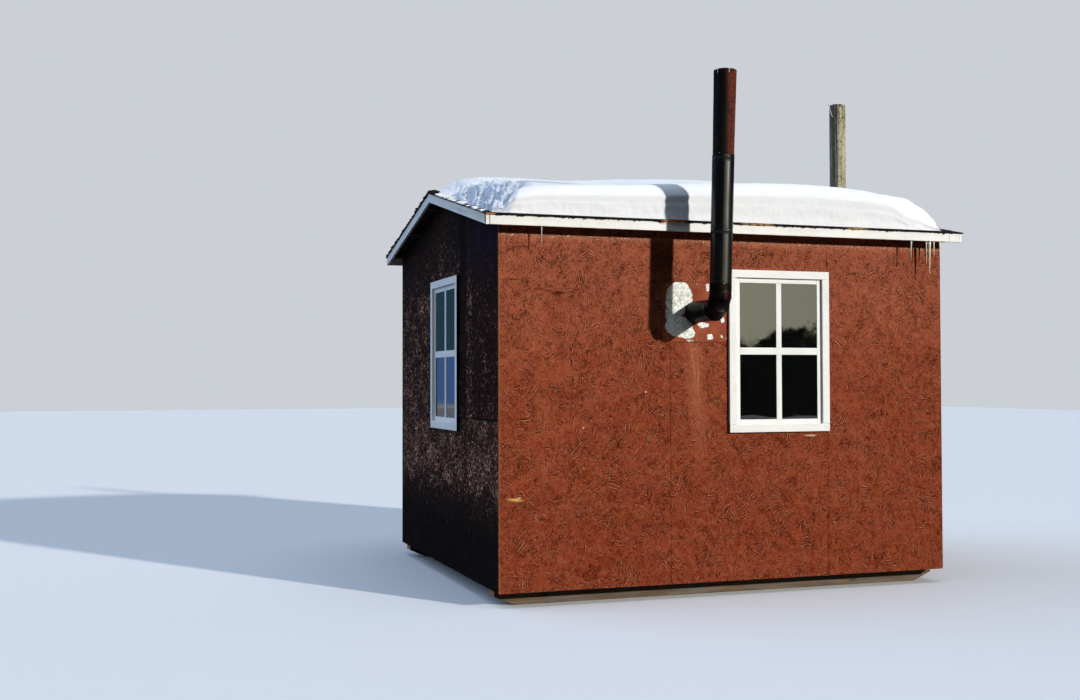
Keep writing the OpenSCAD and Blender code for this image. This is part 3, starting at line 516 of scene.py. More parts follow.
def painted_gable_shade():
    """The window gable's strand board in shade: its coat is coloured purple-black as painted shade,
    and pale flecks and glints on the strand edges are painted sheen. The strip by the front corner
    is a sheet of its own."""
    m, t, b = finish("gable_red_painted_shade", 0.9, spec=0.05)
    where = laid_out(t)
    s = use(t, strands, Where=where)
    rim = parts(t, where)
    inward = minus(t, rim[0], 3 * sheet_step + corner_y)
    big = cloud(t, where, 1.6, 4.0, 0.6)
    mid = cloud(t, where, 6.0, 4.0, 0.65)
    strip = times(t, span(t, inward, 0.652, 0.646), span(t, inward, -0.1, -0.05), clamp=True)
    under = span(t, rim[1], 1.224, 1.214)
    upper_strip = times(t, strip, minus(t, 1.0, under), clamp=True)
    lower_strip = times(t, strip, under, clamp=True)
    foot = span(t, rim[1], 1.55, 0.85)
    half = calc(t, "ABSOLUTE", minus(t, inward, 1.43))
    eaves = minus(t, minus(t, 2.80, times(t, half, 0.225)), rim[1])
    # How far a place is from the painted shade under the roof overhang.
    out_of_eave_shade = span(t, eaves, 0.06, 0.55)
    # The whole coat is painted shade: the dark purple-black stands for the wall out of the sun.
    c = mix(t, span(t, big, 0.35, 0.65), paint(42, 21, 19), paint(24, 12, 11))
    c = mix(t, span(t, mid, 0.42, 0.7, 0.0, 0.7), c, paint(13, 6, 6))
    c = mix(t, times(t, foot, 0.35), c, paint(54, 32, 25))
    c = mix(t, times(t, upper_strip, 0.65), c, paint(39, 13, 13))
    c = mix(t, times(t, lower_strip, 0.45), c, paint(59, 36, 28))
    coarse = cloud(t, stretch(t, where, (0.036, 0.034, 1), 0.08, (0.4, 0.2, 0)), 1.0, 4.0, 0.8)
    small = cloud(t, stretch(t, where, (0.028, 0.019, 1), -0.1, (0.1, 0.7, 0)), 1.0, 2.0, 0.7)
    ready = plus(t, times(t, minus(t, mid, 0.5), 0.36), times(t, foot, 0.03))
    low = span(t, plus(t, rim[1], times(t, minus(t, mid, 0.5), 0.30)), 0.80, 0.44)
    ready = minus(t, ready, times(t, upper_strip, 0.05))
    ready = minus(t, ready, times(t, low, 0.13))
    ready = minus(t, ready, times(t, minus(t, 1.0, out_of_eave_shade), 0.10))
    # Pale flecks and bright glints: painted sheen on the strand edges.
    pale = span(t, plus(t, coarse, ready), 0.505, 0.65, 0.0, 0.72)
    c = mix(t, pale, c, paint(169, 115, 93))
    glint = span(t, plus(t, small, ready), 0.635, 0.70, 0.0, 1.0)
    c = mix(t, glint, c, paint(255, 213, 180))
    c = mix(t, span(t, coarse, 0.47, 0.40, 0.0, 0.92), c, paint(7, 3, 3))
    gaps = cloud(t, stretch(t, where, (0.060, 0.60, 1)), 1.0, 3.0, 0.65)
    c = mix(t, span(t, gaps, 0.54, 0.68, 0.0, 0.6), c, paint(12, 5, 6))
    sky_lit = times(t, span(t, rim[1], 2.10, 2.50, 0.0, 0.65), span(t, inward, 1.35, 0.35), clamp=True)
    c = mix(t, sky_lit, c, mix(t, span(t, gaps, 0.40, 0.60), paint(32, 27, 59), paint(13, 9, 20)))
    # A near-black band beside the window casing: painted shade.
    beside = times(t, span(t, inward, 0.76, 0.80), span(t, inward, 0.968, 0.960), clamp=True)
    c = mix(t, times(t, beside, span(t, rim[1], 1.05, 1.20, 0.0, 0.85)), c, paint(7, 4, 4))
    seam = times(t, span(t, calc(t, "ABSOLUTE", minus(t, rim[1], 1.219)), 0.010, 0.005), strip, clamp=True)
    c = mix(t, seam, c, paint(5, 3, 3))
    # Near black towards the foot of the wall: painted shade.
    c = mix(t, times(t, low, 0.80), c, paint(7, 4, 4))
    wire(t, c, b.inputs["Base Color"])
    wire(t, span(t, mid, 0.3, 0.7, 0.80, 0.95), b.inputs["Roughness"])
    fine = bump(t, s["Height"], 0.0012, 0.45)
    wire(t, bump(t, minus(t, pale, seam), 0.0010, 0.6, fine), b.inputs["Normal"])
    return m


def front_marks():
    """Scars of the long front wall: rubbed dark lines, bare scars, an ochre run, and the painted
    shadow of the icicle near the window gable.
    """
    black, brown = paint(30, 12, 8), paint(88, 34, 20)
    bare, ochre, pale = paint(226, 200, 164), paint(186, 108, 76), paint(214, 142, 104)
    yellow = paint(230, 182, 112)
    found = [
        # A thin black streak below the icicle near the window gable: its painted shadow.
        (0.208, 2.385, 0.0035, 0.055, -0.12, 0.3, 1.0, black),
        (0.419, 2.059, 0.050, 0.0075, 0.0, 0.3, 0.9, brown),
        (0.335, 2.073, 0.040, 0.006, -0.25, 0.6, 0.6, brown),
        (0.262, 2.086, 0.038, 0.006, 0.1, 0.6, 0.6, brown),
        (0.200, 2.076, 0.026, 0.005, 0.7, 0.6, 0.6, brown),
        (0.075, 2.141, 0.080, 0.0045, 0.05, 0.6, 0.6, brown),
        (0.112, 0.705, 0.046, 0.008, -0.1, 0.6, 0.9, yellow),
        (0.132, 0.712, 0.022, 0.005, 0.5, 0.3, 1.0, yellow),
        (1.040, 1.403, 0.008, 0.005, 0.4, 0.2, 1.0, bare),
        (0.585, 1.167, 0.010, 0.005, 0.0, 0.2, 1.0, bare),
        (1.412, 1.47, 0.050, 0.34, 0.06, 0.9, 0.62, ochre),
        (1.392, 1.60, 0.0035, 0.15, 0.15, 0.7, 0.50, pale),
        (1.428, 1.52, 0.0035, 0.13, 0.03, 0.7, 0.60, pale),
        (1.400, 1.695, 0.020, 0.006, 0.2, 0.6, 0.40, pale),
        (2.30, 1.09, 0.045, 0.006, 0.0, 0.4, 0.8, bare)]
    return [(sheet_step + corner_x + x, *rest) for x, *rest in found]


# The brick red of the walls: the coat, its deep places, its light lines (partly painted highlights),
# bare wood, dark lines (partly painted shade).
brick = (paint(164, 84, 55), paint(129, 49, 25), paint(224, 146, 108), paint(228, 196, 168),
         paint(54, 14, 5))
front_paint = sheet_paint("front_red", *brick, front_marks(), sheet_step + corner_x, 1.0)
back_paint = sheet_paint("back_red", *brick)
gable_painted_shade = painted_gable_shade()
board_edge = cut_end("strand_edge", paint(170, 128, 84), paint(96, 62, 40))


def sheets(node, skin, across, number):
    """Sheets with eased edges; UV is level distance and height, the same on both faces."""
    bm = clean_copy(node)
    bmesh.ops.triangulate(bm, faces=bm.faces)
    worn = eased(bm, sharp_edges(bm), 0.0012, 1)
    grain = bm.loops.layers.uv.new("grain")
    edge = bm.loops.layers.float_color.new("edge")
    out = Vector((0, 1, 0)) if across == 0 else Vector((1, 0, 0))
    for f in bm.faces:
        f.material_index = 1 if abs(f.normal.dot(out)) < 0.3 else 0
        wear = 1.0 if f in worn else 0.0
        for loop in f.loops:
            p = loop.vert.co
            loop[grain].uv = (p[across] + number * sheet_step, p[2])
            loop[edge] = (wear, wear, wear, 1)
    return keep(bm, node + "_painted", "painted_sheet", (skin, board_edge), node)


sheets("front_sheets", front_paint, 0, 1)
sheets("back_sheets", back_paint, 0, 2)
sheets("left_sheets", gable_painted_shade, 1, 3)
sheets("right_sheets", back_paint, 1, 4)


# WINDOWS: a sash of four panes in a lined opening, with four flat casing boards nailed over
# the cut edge of the sheet. Pine under white oil paint, brushed, cracked a little at the edges.
def white_paint(name, base=paint(252, 252, 248), shade=paint(240, 241, 239), dirt=0.10, spots=(), across=0):
    m, t, b = finish(name, 0.5, spec=0.25)
    where = laid_out(t)
    g = use(t, sawn_grain, Where=where)
    c = mix(t, span(t, cloud(t, where, 4.0, 4.0, 0.6), 0.35, 0.75), base, shade)
    c = mix(t, span(t, g["Fibres"], 0.28, 0.40, 0.22, 0.0), c, paint(176, 178, 176))
    grime = cloud(t, stretch(t, where, (0.30, 0.02, 1)), 1.0, 4.0, 0.7)
    c = mix(t, span(t, grime, 0.55, 0.8, 0.0, dirt), c, paint(128, 120, 106))
    edge = marked(t, "edge")
    chip = cloud(t, where, 60.0, 3.0, 0.65)
    bare = span(t, plus(t, chip, times(t, edge, 0.10)), 0.70, 0.72)
    c = mix(t, bare, c, paint(126, 104, 78))
    knot = times(t, g["Knots"], 0.22)
    c = mix(t, knot, c, paint(220, 204, 164))
    if spots:
        part = parts(t, in_place(t))
        c = touch_up(t, c, unsettle(t, whole(t, part[across], part[2]), 40.0, 0.016), spots)
    wire(t, c, b.inputs["Base Color"])
    wire(t, span(t, grime, 0.3, 0.8, 0.36, 0.62), b.inputs["Roughness"])
    brush = minus(t, g["Fibres"], bare)
    wire(t, bump(t, brush, 0.0005, 0.5), b.inputs["Normal"])
    return m


trim_paint = white_paint("trim_white")
trim_end = cut_end("trim_end", paint(216, 208, 190), paint(150, 132, 106))
for side, seed in (("front", 21), ("left", 27)):
    casing = boards(side + "_casing", "white_paint", trim_paint, trim_end, 0.002, seed)
    # The left casing's edge towards the front takes the gable's coat, which is painted shade.
    if side == "left":
        casing.data.materials.append(gable_painted_shade)
        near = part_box("left_casing")[0][1]
        for f in casing.data.polygons:
            if f.normal.y < -0.8 and f.center.y < near + 0.003:
                f.material_index = 2
    boards(side + "_jamb", "white_paint", trim_paint, trim_end, 0.0012, seed + 1)
    boards(side + "_sash", "white_paint", trim_paint, trim_end, 0.0025, seed + 2)


def pane_glass():
    """Old window glass: a green-grey body, a film of dust and a slow wave in the surface."""
    m, t, b = finish("pane_glass", 0.02, spec=1.0)
    b.inputs["Transmission Weight"].default_value = 1.0
    b.inputs["IOR"].default_value = 1.9
    where = in_place(t)
    dust = cloud(t, where, 9.0, 5.0, 0.65)
    wire(t, mix(t, span(t, dust, 0.4, 0.75), paint(64, 70, 64), paint(52, 54, 46)), b.inputs["Base Color"])
    wire(t, span(t, dust, 0.5, 0.85, 0.01, 0.10), b.inputs["Roughness"])
    wire(t, bump(t, cloud(t, where, 2.2, 1.0), 0.004, 0.25), b.inputs["Normal"])
    return m


pane = pane_glass()
recess = 0.003
for side, axis in (("front", 1), ("left", 0)):
    data = frame["nodes"][side + "_glass"].data.copy()
    out = [0.0, 0.0, 0.0]
    out[axis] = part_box(side + "_sash")[0][axis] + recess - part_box(side + "_glass")[0][axis]
    data.transform(Matrix.Translation(out))
    data.materials.clear()
    data.materials.append(pane)
    add(side + "_panes", data, "glass", side + "_glass")


# DOOR: a ledged door of five vertical planks in the back wall, painted as the walls, hung on
# two black strap hinges, with a round-bar pull. Its lining and casing are white as the windows'.
for number, name in enumerate(("door_jamb", "door_casing")):
    boards(name, "white_paint", trim_paint, trim_end, 0.002, 31 + number)


def plank_paint():
    m, t, b = finish("door_red", 0.6, spec=0.35)
    where = laid_out(t)
    g = use(t, sawn_grain, Where=where)
    c = mix(t, span(t, cloud(t, where, 3.0, 4.0), 0.3, 0.7), paint(134, 66, 43), paint(106, 48, 31))
    c = mix(t, span(t, g["Fibres"], 0.3, 0.45, 0.5, 0.0), c, paint(70, 34, 26))
    edge = marked(t, "edge")
    chip = cloud(t, where, 50.0, 3.0, 0.65)
    bare = span(t, plus(t, chip, times(t, edge, 0.13)), 0.70, 0.73)
    c = mix(t, bare, c, paint(176, 140, 98))
    wire(t, c, b.inputs["Base Color"])
    relief = minus(t, plus(t, g["Fibres"], times(t, g["Bands"], 0.4)), bare)
    wire(t, bump(t, relief, 0.0008, 0.7), b.inputs["Normal"])
    return m


def door_planks(count=5, gap=0.003, thick=0.036):
    """The leaf as planks with a shadow gap between them, and the two ledges behind them."""
    lo, hi = (Vector(v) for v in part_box("door_leaf"))
    leaf = clean_copy("door_leaf")
    ledges = [g for g in islands(leaf) if max(v.co.y for f in g for v in f.verts) < hi.y - 0.03]
    wide = (hi.x - lo.x) / count
    boxes = []
    for k in range(count):
        foot = (lo.x + k * wide + gap / 2, hi.y - thick, lo.z)
        head = (lo.x + (k + 1) * wide - gap / 2, hi.y, hi.z)
        boxes.append((foot, head))
    for g in ledges:
        pts = [v.co for f in g for v in f.verts]
        boxes.append(([min(p[i] for p in pts) for i in range(3)],
                      [max(p[i] for p in pts) for i in range(3)]))
    bm = bmesh.new()
    for a, b in boxes:
        a, b = Vector(a), Vector(b)
        made = bmesh.ops.create_cube(bm, size=1.0)["verts"]
        bmesh.ops.scale(bm, vec=b - a, verts=made)
        bmesh.ops.translate(bm, vec=(a + b) / 2, verts=made)
    leaf.free()
    return bm


leaf = door_planks()
lay_grain(leaf, eased(leaf, leaf.edges[:], 0.003), 35)
keep(leaf, "door_planks", "painted_sheet", (plank_paint(), trim_end), "door_leaf")


def iron_finish():
    m, t, b = finish("black_iron", 0.5, 0.6)
    where = in_place(t)
    rust = span(t, cloud(t, where, 60.0, 4.0, 0.7), 0.55, 0.7)
    wire(t, mix(t, rust, (0.02, 0.02, 0.021, 1), paint(96, 54, 32)), b.inputs["Base Color"])
    wire(t, span(t, rust, 0.0, 1.0, 0.38, 0.85), b.inputs["Roughness"])
    wire(t, bump(t, cloud(t, where, 220.0, 2.0), 0.0004, 0.6), b.inputs["Normal"])
    return m


black_iron = iron_finish()


def forged(node, ease):
    bm = clean_copy(node)
    eased(bm, sharp_edges(bm, 0.6), ease, 1)
    for f in bm.faces:
        f.smooth = False
    return keep(bm, node + "_forged", "black_iron", (black_iron,), node)


forged("door_hinges", 0.0006)
forged("door_pull", 0.0006)


# ROOF FRAME: 64 mm rafters with bird's mouths on the plates, a ridge board, short lookouts
# past the gables and 11 mm strand board on top. Raw timber inside, dark stain past the gables.
for number, name in enumerate(("rafters", "ridge_board")):
    boards(name, "timber", framing_timber, fresh_end, 0.002, 41 + number)
stained = timber("stained_timber", paint(58, 40, 32), paint(30, 20, 17), 0.85, 0.2)
boards("lookouts", "timber", stained, stained, 0.002, 43)


def stained_strands():
    m, t, b = finish("stained_strand_board", 0.85, spec=0.15)
    where = laid_out(t)
    s = use(t, strands, Where=where)
    c = mix(t, s["Tone"], paint(62, 42, 33), paint(40, 26, 21))
    c = mix(t, span(t, s["Height"], 0.55, 0.8, 0.6, 0.0), c, paint(18, 11, 9))
    wire(t, c, b.inputs["Base Color"])
    wire(t, bump(t, s["Height"], 0.0012, 0.6), b.inputs["Normal"])
    return m


boards("roof_deck", "roof_sheet", stained_strands(), board_edge, 0.001, 45)


# FASCIA AND RAKE BOARDS: 19 x 66 mm boards along the eaves and 20 x 66 mm boards up the
# gables, mitred at the peak. White oil paint over pine, thin over the knots, nailed.
rust, crack, moss = paint(150, 96, 52), paint(40, 34, 28), paint(206, 200, 150)
eave_spots = [(x + corner_x, *rest) for x, *rest in (
    (1.135, 2.548, 0.030, 0.016, 0.2, 0.6, 0.70, rust),
    (1.105, 2.538, 0.010, 0.006, 0.0, 0.4, 0.8, crack),
    (3.399, 2.520, 0.0016, 0.060, 0.0, 0.3, 0.9, crack),
    (0.62, 2.548, 0.020, 0.004, 0.0, 0.6, 0.5, crack),
    (2.03, 2.546, 0.050, 0.004, 0.0, 0.6, 0.4, rust),
    (-0.088, 2.52, 0.0028, 0.05, 0.0, 0.3, 0.85, crack))]
rake_spots = [(y + corner_y, *rest) for y, *rest in (
    (0.02, 2.545, 0.10, 0.020, 0.22, 0.8, 0.45, moss),
    (0.20, 2.60, 0.12, 0.012, 0.22, 0.8, 0.30, moss),
    (-0.087, 2.545, 0.012, 0.060, 0.0, 0.3, 0.95, crack),
    (0.55, 2.66, 0.20, 0.010, 0.22, 0.8, 0.25, crack))]
eave_paint = white_paint("eave_white", paint(252, 252, 247), paint(240, 240, 236), 0.14, eave_spots)
rake_paint = white_paint("rake_white", paint(252, 252, 247), paint(236, 238, 236), 0.16, rake_spots, 1)
plain_paint = white_paint("plain_white", paint(252, 252, 247), paint(240, 240, 236), 0.14)
trim_boards = (("fascia_front", eave_paint), ("fascia_back", plain_paint),
               ("rake_left", rake_paint), ("rake_right", plain_paint))
for number, (name, skin) in enumerate(trim_boards):
    boards(name, "white_paint", skin, skin, 0.0025, 51 + number)


# SHINGLES: asphalt strips with mineral grains, in courses of 142 mm with three tabs each,
# nailed through the board; brittle and broken along the eaves and the rakes.
orange, tan = paint(196, 118, 64), paint(180, 148, 92)
moss_spots = ((-0.09, 0.045, orange), (1.83, 0.14, tan), (2.62, 0.10, tan), (1.20, 0.10, orange))


def shingle_finish():
    m, t, b = finish("shingle_grains", 0.92, spec=0.2)
    where = in_place(t)
    grain = cloud(t, where, 420.0, 2.0, 0.8)
    c = mix(t, span(t, grain, 0.40, 0.62), (0.002, 0.002, 0.002, 1), (0.014, 0.013, 0.012, 1))
    patch = cloud(t, where, 11.0, 4.0, 0.7)
    bits = times(t, span(t, patch, 0.63, 0.68), span(t, grain, 0.42, 0.58), clamp=True)
    c = mix(t, bits, c, paint(188, 148, 84))
    part = parts(t, where)
    by_eave = span(t, part[1], corner_y - 0.085, corner_y - 0.105)
    ragged_bits = times(t, span(t, cloud(t, where, 55.0, 3.0), 0.38, 0.46), by_eave)
    for x, half, tone in moss_spots:
        near = span(t, calc(t, "ABSOLUTE", minus(t, part[0], x + corner_x)), half, half * 0.6)
        c = mix(t, times(t, near, ragged_bits, clamp=True), c, tone)
    worn = times(t, span(t, cloud(t, where, 5.0, 3.0), 0.6, 0.75), 0.10)
    c = mix(t, worn, c, paint(92, 52, 36))
    wire(t, c, b.inputs["Base Color"])
    wire(t, bump(t, grain, 0.0011, 0.9), b.inputs["Normal"])
    return m


def fixings_tree():
    """Geometry nodes that set a piece on each point of a mesh, turned and sized by the
    point's own marks, with a seeded disorder, and leave plain geometry."""
    g = bpy.data.node_groups.new("fixings", "GeometryNodeTree")
    for label, kind in (("Points", "Geometry"), ("Piece", "Object"), ("Size", "Float"),
                        ("Disorder", "Float"), ("Seed", "Int"), ("Finish", "Material")):
        g.interface.new_socket(label, in_out="INPUT", socket_type="NodeSocket" + kind)
    g.interface.new_socket("Geometry", in_out="OUTPUT", socket_type="NodeSocketGeometry")
    i = g.nodes.new("NodeGroupInput").outputs
    o = g.nodes.new("NodeGroupOutput").inputs
    piece = put(g, "GeometryNodeObjectInfo", {"Object": i["Piece"]}).outputs["Geometry"]
    turn = put(g, "GeometryNodeInputNamedAttribute", {"Name": "turn"}, data_type="FLOAT_VECTOR").outputs[0]
    size = put(g, "GeometryNodeInputNamedAttribute", {"Name": "size"}, data_type="FLOAT_VECTOR").outputs[0]
    least, most = sized(g, (-1, -1, -1), i["Disorder"]), sized(g, (1, 1, 1), i["Disorder"])
    ins = {0: least, 1: most, "Seed": i["Seed"]}
    tilt = put(g, "FunctionNodeRandomValue", ins, data_type="FLOAT_VECTOR").outputs[0]
    spun = put(g, "FunctionNodeEulerToRotation", (moved_by(g, turn, tilt),)).outputs[0]
    ins = {"Points": i["Points"], "Instance": piece, "Rotation": spun, "Scale": sized(g, size, i["Size"])}
    many = put(g, "GeometryNodeInstanceOnPoints", ins).outputs[0]
    real = put(g, "GeometryNodeRealizeInstances", (many,)).outputs[0]
    done = put(g, "GeometryNodeSetMaterial", {"Geometry": real, "Material": i["Finish"]}).outputs[0]
    wire(g, done, o["Geometry"])
    return g


fixings = fixings_tree()


def scatter(name, slot, piece, spots, skin, size=1.0, disorder=0.0, seed=1, nodes=()):
    """Sets piece on every spot (place, turn, size) and keeps the result as a plain mesh."""
    scene = bpy.context.scene.collection.objects
    pts = bpy.data.meshes.new(name + "_points")
    pts.from_pydata([s[0] for s in spots], [], [])
    turn = pts.attributes.new("turn", "FLOAT_VECTOR", "POINT")
    big = pts.attributes.new("size", "FLOAT_VECTOR", "POINT")
    for k, s in enumerate(spots):
        turn.data[k].vector = s[1]
        big.data[k].vector = s[2]
    host = bpy.data.objects.new(name + "_points", pts)
    model = bpy.data.objects.new(name + "_piece", piece)
    scene.link(host)
    scene.link(model)
    mod = host.modifiers.new("fixings", "NODES")
    mod.node_group = fixings
    given = {"Piece": model, "Size": size, "Disorder": disorder, "Seed": seed, "Finish": skin}
    for item in fixings.interface.items_tree:
        if item.in_out == "INPUT" and item.name in given:
            mod[item.identifier] = given[item.name]
    bpy.context.view_layer.update()
    mesh = bpy.data.meshes.new_from_object(host.evaluated_get(bpy.context.evaluated_depsgraph_get()))
    mesh.name = name
    host.modifiers.remove(mod)
    bpy.data.objects.remove(host)
    bpy.data.objects.remove(model)
    return add(name, mesh, slot, *nodes)


def form(name, verts, faces, smooth=False):
    mesh = bpy.data.meshes.new(name)
    mesh.from_pydata([tuple(v) for v in verts], [], faces)
    mesh.polygons.foreach_set("use_smooth", [smooth] * len(faces))
    mesh.update()
    return mesh


def outward(mesh):
    """Turns every face of a closed skin outwards."""
    bm = bmesh.new()
    bm.from_mesh(mesh)
    bmesh.ops.recalc_face_normals(bm, faces=bm.faces)
    bm.to_mesh(mesh)
    bm.free()
    return mesh


def bands(rows, around):
    """The faces between rows of points, where each row has as many points and closes round."""
    faces = []
    for i in range(rows):
        for k in range(around):
            a, b = i * around + k, i * around + (k + 1) % around
            faces.append((a, b, b + around, a + around))
    return faces


def circle(around):
    """Points of a round of radius 1, as pairs."""
    return [(math.cos(2 * math.pi * k / around), math.sin(2 * math.pi * k / around)) for k in range(around)]


pitch = math.radians(12.67)
course, tab_wide, tab_deep, half_tab = 0.142, 0.303, 0.150, 0.15
shingle_skin = shingle_finish()
slope_foot, slope_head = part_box("shingles_front")


def tab_mesh(wide=tab_wide, deep=tab_deep, thick=0.0032):
    """One tab: a thin wedge with a chewed lower edge."""
    rng = random.Random(5)
    n = 6
    verts, faces = [], []
    for z in (0.0, thick):
        for k in range(n + 1):
            verts.append((k * wide / n, rng.uniform(0.0, 0.003), z))
        for k in range(n + 1):
            verts.append((k * wide / n, deep, z * 0.4))
    m = n + 1
    for k in range(n):
        faces.append((k, m + k, m + k + 1, k + 1))
        faces.append((2 * m + k, 2 * m + k + 1, 3 * m + k + 1, 3 * m + k))
        faces.append((k, k + 1, 2 * m + k + 1, 2 * m + k))
        faces.append((m + k, 3 * m + k, 3 * m + k + 1, m + k + 1))
    faces.append((0, 2 * m, 3 * m, m))
    faces.append((n, m + n, 3 * m + n, 2 * m + n))
    return form("tab", verts, faces)


def tab_spots(back):
    """Courses up one slope, each half a tab on from the one below."""
    spots = []
    foot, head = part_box("shingles_back" if back else "shingles_front")
    length = (head[1] - foot[1]) / math.cos(pitch)
    for row in range(math.ceil(length / course)):
        d = row * course
        x = foot[0] - (half_tab if row % 2 else 0.0)
        while x < head[0] - 0.01:
            left = max(x, foot[0])
            right = min(x + tab_wide, head[0])
            wide = (right - left - 0.003) / tab_wide
            reach = min(1.0, (length - d) / tab_deep)
            if wide > 0.03 and reach > 0.1:
                z = foot[2] + 0.0030 + d * math.sin(pitch)
                if back:
                    place, turn = (right, head[1] - d * math.cos(pitch), z), (pitch, 0, math.pi)
                else:
                    place, turn = (left, foot[1] + d * math.cos(pitch), z), (pitch, 0, 0)
                spots.append((place, turn, (wide, reach, 1)))
            x += tab_wide
    return spots


for back, name in ((False, "shingles_front"), (True, "shingles_back")):
    bed = clean_copy(name)
    bmesh.ops.translate(bed, vec=(0, 0, -0.0006), verts=bed.verts)
    keep(bed, name + "_bed", "shingle", (shingle_skin,), name)
    scatter(name + "_tabs", "shingle", tab_mesh(), tab_spots(back), shingle_skin, 1.0, 0.004, 61 + back)


def uneven(x, y, z):
    """Smooth noise from about -1 to 1, always the same at the same place."""
    return field.noise(Vector((x, y, z)))


def ragged(name, start, end, out, width=0.030, amp=0.009, thick=0.0045, seed=1, sag=0.007,
           skin=None, slot="shingle", fray=0.0):
    """A broken shingle edge: a thin strip along a board whose outer rim is chewed and droops."""
    start, end, out = Vector(start), Vector(end), Vector(out).normalized()
    run = end - start
    n = int(run.length / 0.009)
    up = out.cross(run).normalized()
    if up.z < 0:
        up = -up
    verts, faces = [], []
    for k in range(n + 1):
        p = start + run * (k / n)
        a = uneven(k * 0.31, seed, 0) + 0.6 * uneven(k * 0.9, seed, 4)
        d = uneven(k * 0.13, seed, 9)
        torn = fray * max(0.0, uneven(k * 0.77, seed, 21))
        rim = p + out * (a * amp) - up * (max(0.0, sag * (0.5 + d)) + torn)
        thin = thick * (0.75 + 0.6 * uneven(k * 0.6, seed, 14))
        back = p - out * width
        verts += [rim + up * thin, rim, back + up * thick, back]
    for k in range(n):
        a, b = 4 * k, 4 * k + 4
        faces += [(a, b, b + 1, a + 1), (a + 2, b + 2, b, a)]
        faces += [(a + 1, b + 1, b + 3, a + 3), (a + 3, b + 3, b + 2, a + 2)]
    faces += [(0, 1, 3, 2), (4 * n, 4 * n + 2, 4 * n + 3, 4 * n + 1)]
    mesh = outward(form(name, verts, faces))
    mesh.materials.append(skin or shingle_skin)
    return add(name, mesh, slot)


lo, hi = slope_foot, slope_head
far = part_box("shingles_back")[1]
lap = 0.006
left_x, right_x = lo[0] + lap, hi[0] - lap
front_y, back_y = lo[1] + lap, far[1] - lap
zl = lo[2] + 0.0035
ragged("eave_edge_front", (left_x, front_y, zl), (right_x, front_y, zl), (0, -1, 0),
       amp=0.013, thick=0.0075, seed=1, sag=0.010, fray=0.022)
ragged("eave_edge_back", (left_x, back_y, zl), (right_x, back_y, zl), (0, 1, 0), seed=2)
ridge_y = (lo[1] + far[1]) / 2
zr = zl + (ridge_y - lo[1]) * math.tan(pitch)
peak_half = 0.16
for k, (x, out) in enumerate(((left_x, -1), (right_x, 1))):
    ragged(f"rake_edge_front_{k}", (x, front_y, zl), (x, ridge_y, zr), (out, 0, 0), seed=3 + k)
    ragged(f"rake_edge_back_{k}", (x, back_y, zl), (x, ridge_y, zr), (out, 0, 0),
           seed=7 + k, thick=0.024, amp=0.020, sag=0.012)
    for side in (-1, 1):
        foot = (x, ridge_y + side * peak_half, zr - peak_half * math.tan(pitch) + 0.003)
        ragged(f"peak_lump_{k}_{side + 1}", foot, (x, ridge_y, zr + 0.003), (out, 0, 0),
               0.05, 0.006, 0.024, 11 + k + side, 0.010)
ragged("corner_lump", (lo[0] + 0.004, lo[1] + 0.05, zl + 0.012), (lo[0] + 0.10, lo[1] + 0.006, zl + 0.001),
       (-0.3, -1, 0), 0.03, 0.005, 0.008, 15, 0.004)


def ridge_spots():
    """Caps folded over the ridge, each lapping the one before."""
    foot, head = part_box("ridge_shingles")
    n = round((head[0] - foot[0]) / course)
    step = (head[0] - foot[0]) / n
    y, z = (foot[1] + head[1]) / 2, head[2] - 0.0035
    return [((foot[0] + k * step, y, z), (0, 0, 0), (1, 1, 1)) for k in range(n)]


def cap_mesh(long=0.146, half=0.148, thick=0.003):
    """One cap: a strip bent over the ridge in five flats, its near end a little higher."""
    drop = half * math.tan(pitch)
    bend = [(-half, -drop), (-half / 2, -drop / 2), (-0.01, -0.0012),
            (0.01, -0.0012), (half / 2, -drop / 2), (half, -drop)]
    verts, faces = [], []
    for x, lift in ((0.0, 0.0012), (long, 0.0)):
        for y, z in bend:
            verts += [(x, y, z + lift), (x, y, z + lift + thick)]
    for k in range(5):
        a, b = 2 * k, 12 + 2 * k
        faces += [(a, a + 2, b + 2, b), (a + 1, b + 1, b + 3, a + 3)]
        faces += [(a, a + 1, a + 3, a + 2), (b, b + 2, b + 3, b + 1)]
    faces += [(0, 12, 13, 1), (10, 11, 23, 22)]
    return form("cap", verts, faces)


scatter("ridge_caps", "shingle", cap_mesh(), ridge_spots(), shingle_skin, 1.0, 0.0, 66, ("ridge_shingles",))


# SNOW: one settled slab over the whole roof with a steep edge at the eaves, thin at the window
# gable and 200 mm deep towards the mast. It is combed and broken at the window gable.
def snow_finish():
    m, t, b = finish("settled_snow", 0.72, spec=0.25)
    where = in_place(t)
    soft = cloud(t, where, 3.0, 4.0, 0.55)
    c = mix(t, span(t, soft, 0.3, 0.7), paint(247, 248, 249), paint(239, 242, 245))
    fine = cloud(t, where, 160.0, 4.0, 0.7)
    c = mix(t, span(t, fine, 0.25, 0.45, 0.18, 0.0), c, paint(205, 214, 226))
    # The broken face at the window gable is bluish: old dense snow, and painted shade of that face.
    old = marked(t, "old")
    c = mix(t, times(t, old, span(t, fine, 0.40, 0.60, 0.95, 0.25)), c, paint(160, 176, 200))
    wire(t, c, b.inputs["Base Color"])
    grains = bump(t, fine, 0.0015, 0.5)
    wire(t, bump(t, cloud(t, where, 26.0, 5.0, 0.6), 0.006, 0.45, grains), b.inputs["Normal"])
    return m


# Where the snow ends, from the front corner of the window gable, and the width of the hut.
snow_left, snow_right, snow_front, snow_back = -0.085, 3.385, -0.101, 2.961
snow_long, hut_wide = 3.470, 2.860


def held(v):
    return min(1.0, max(0.0, v))


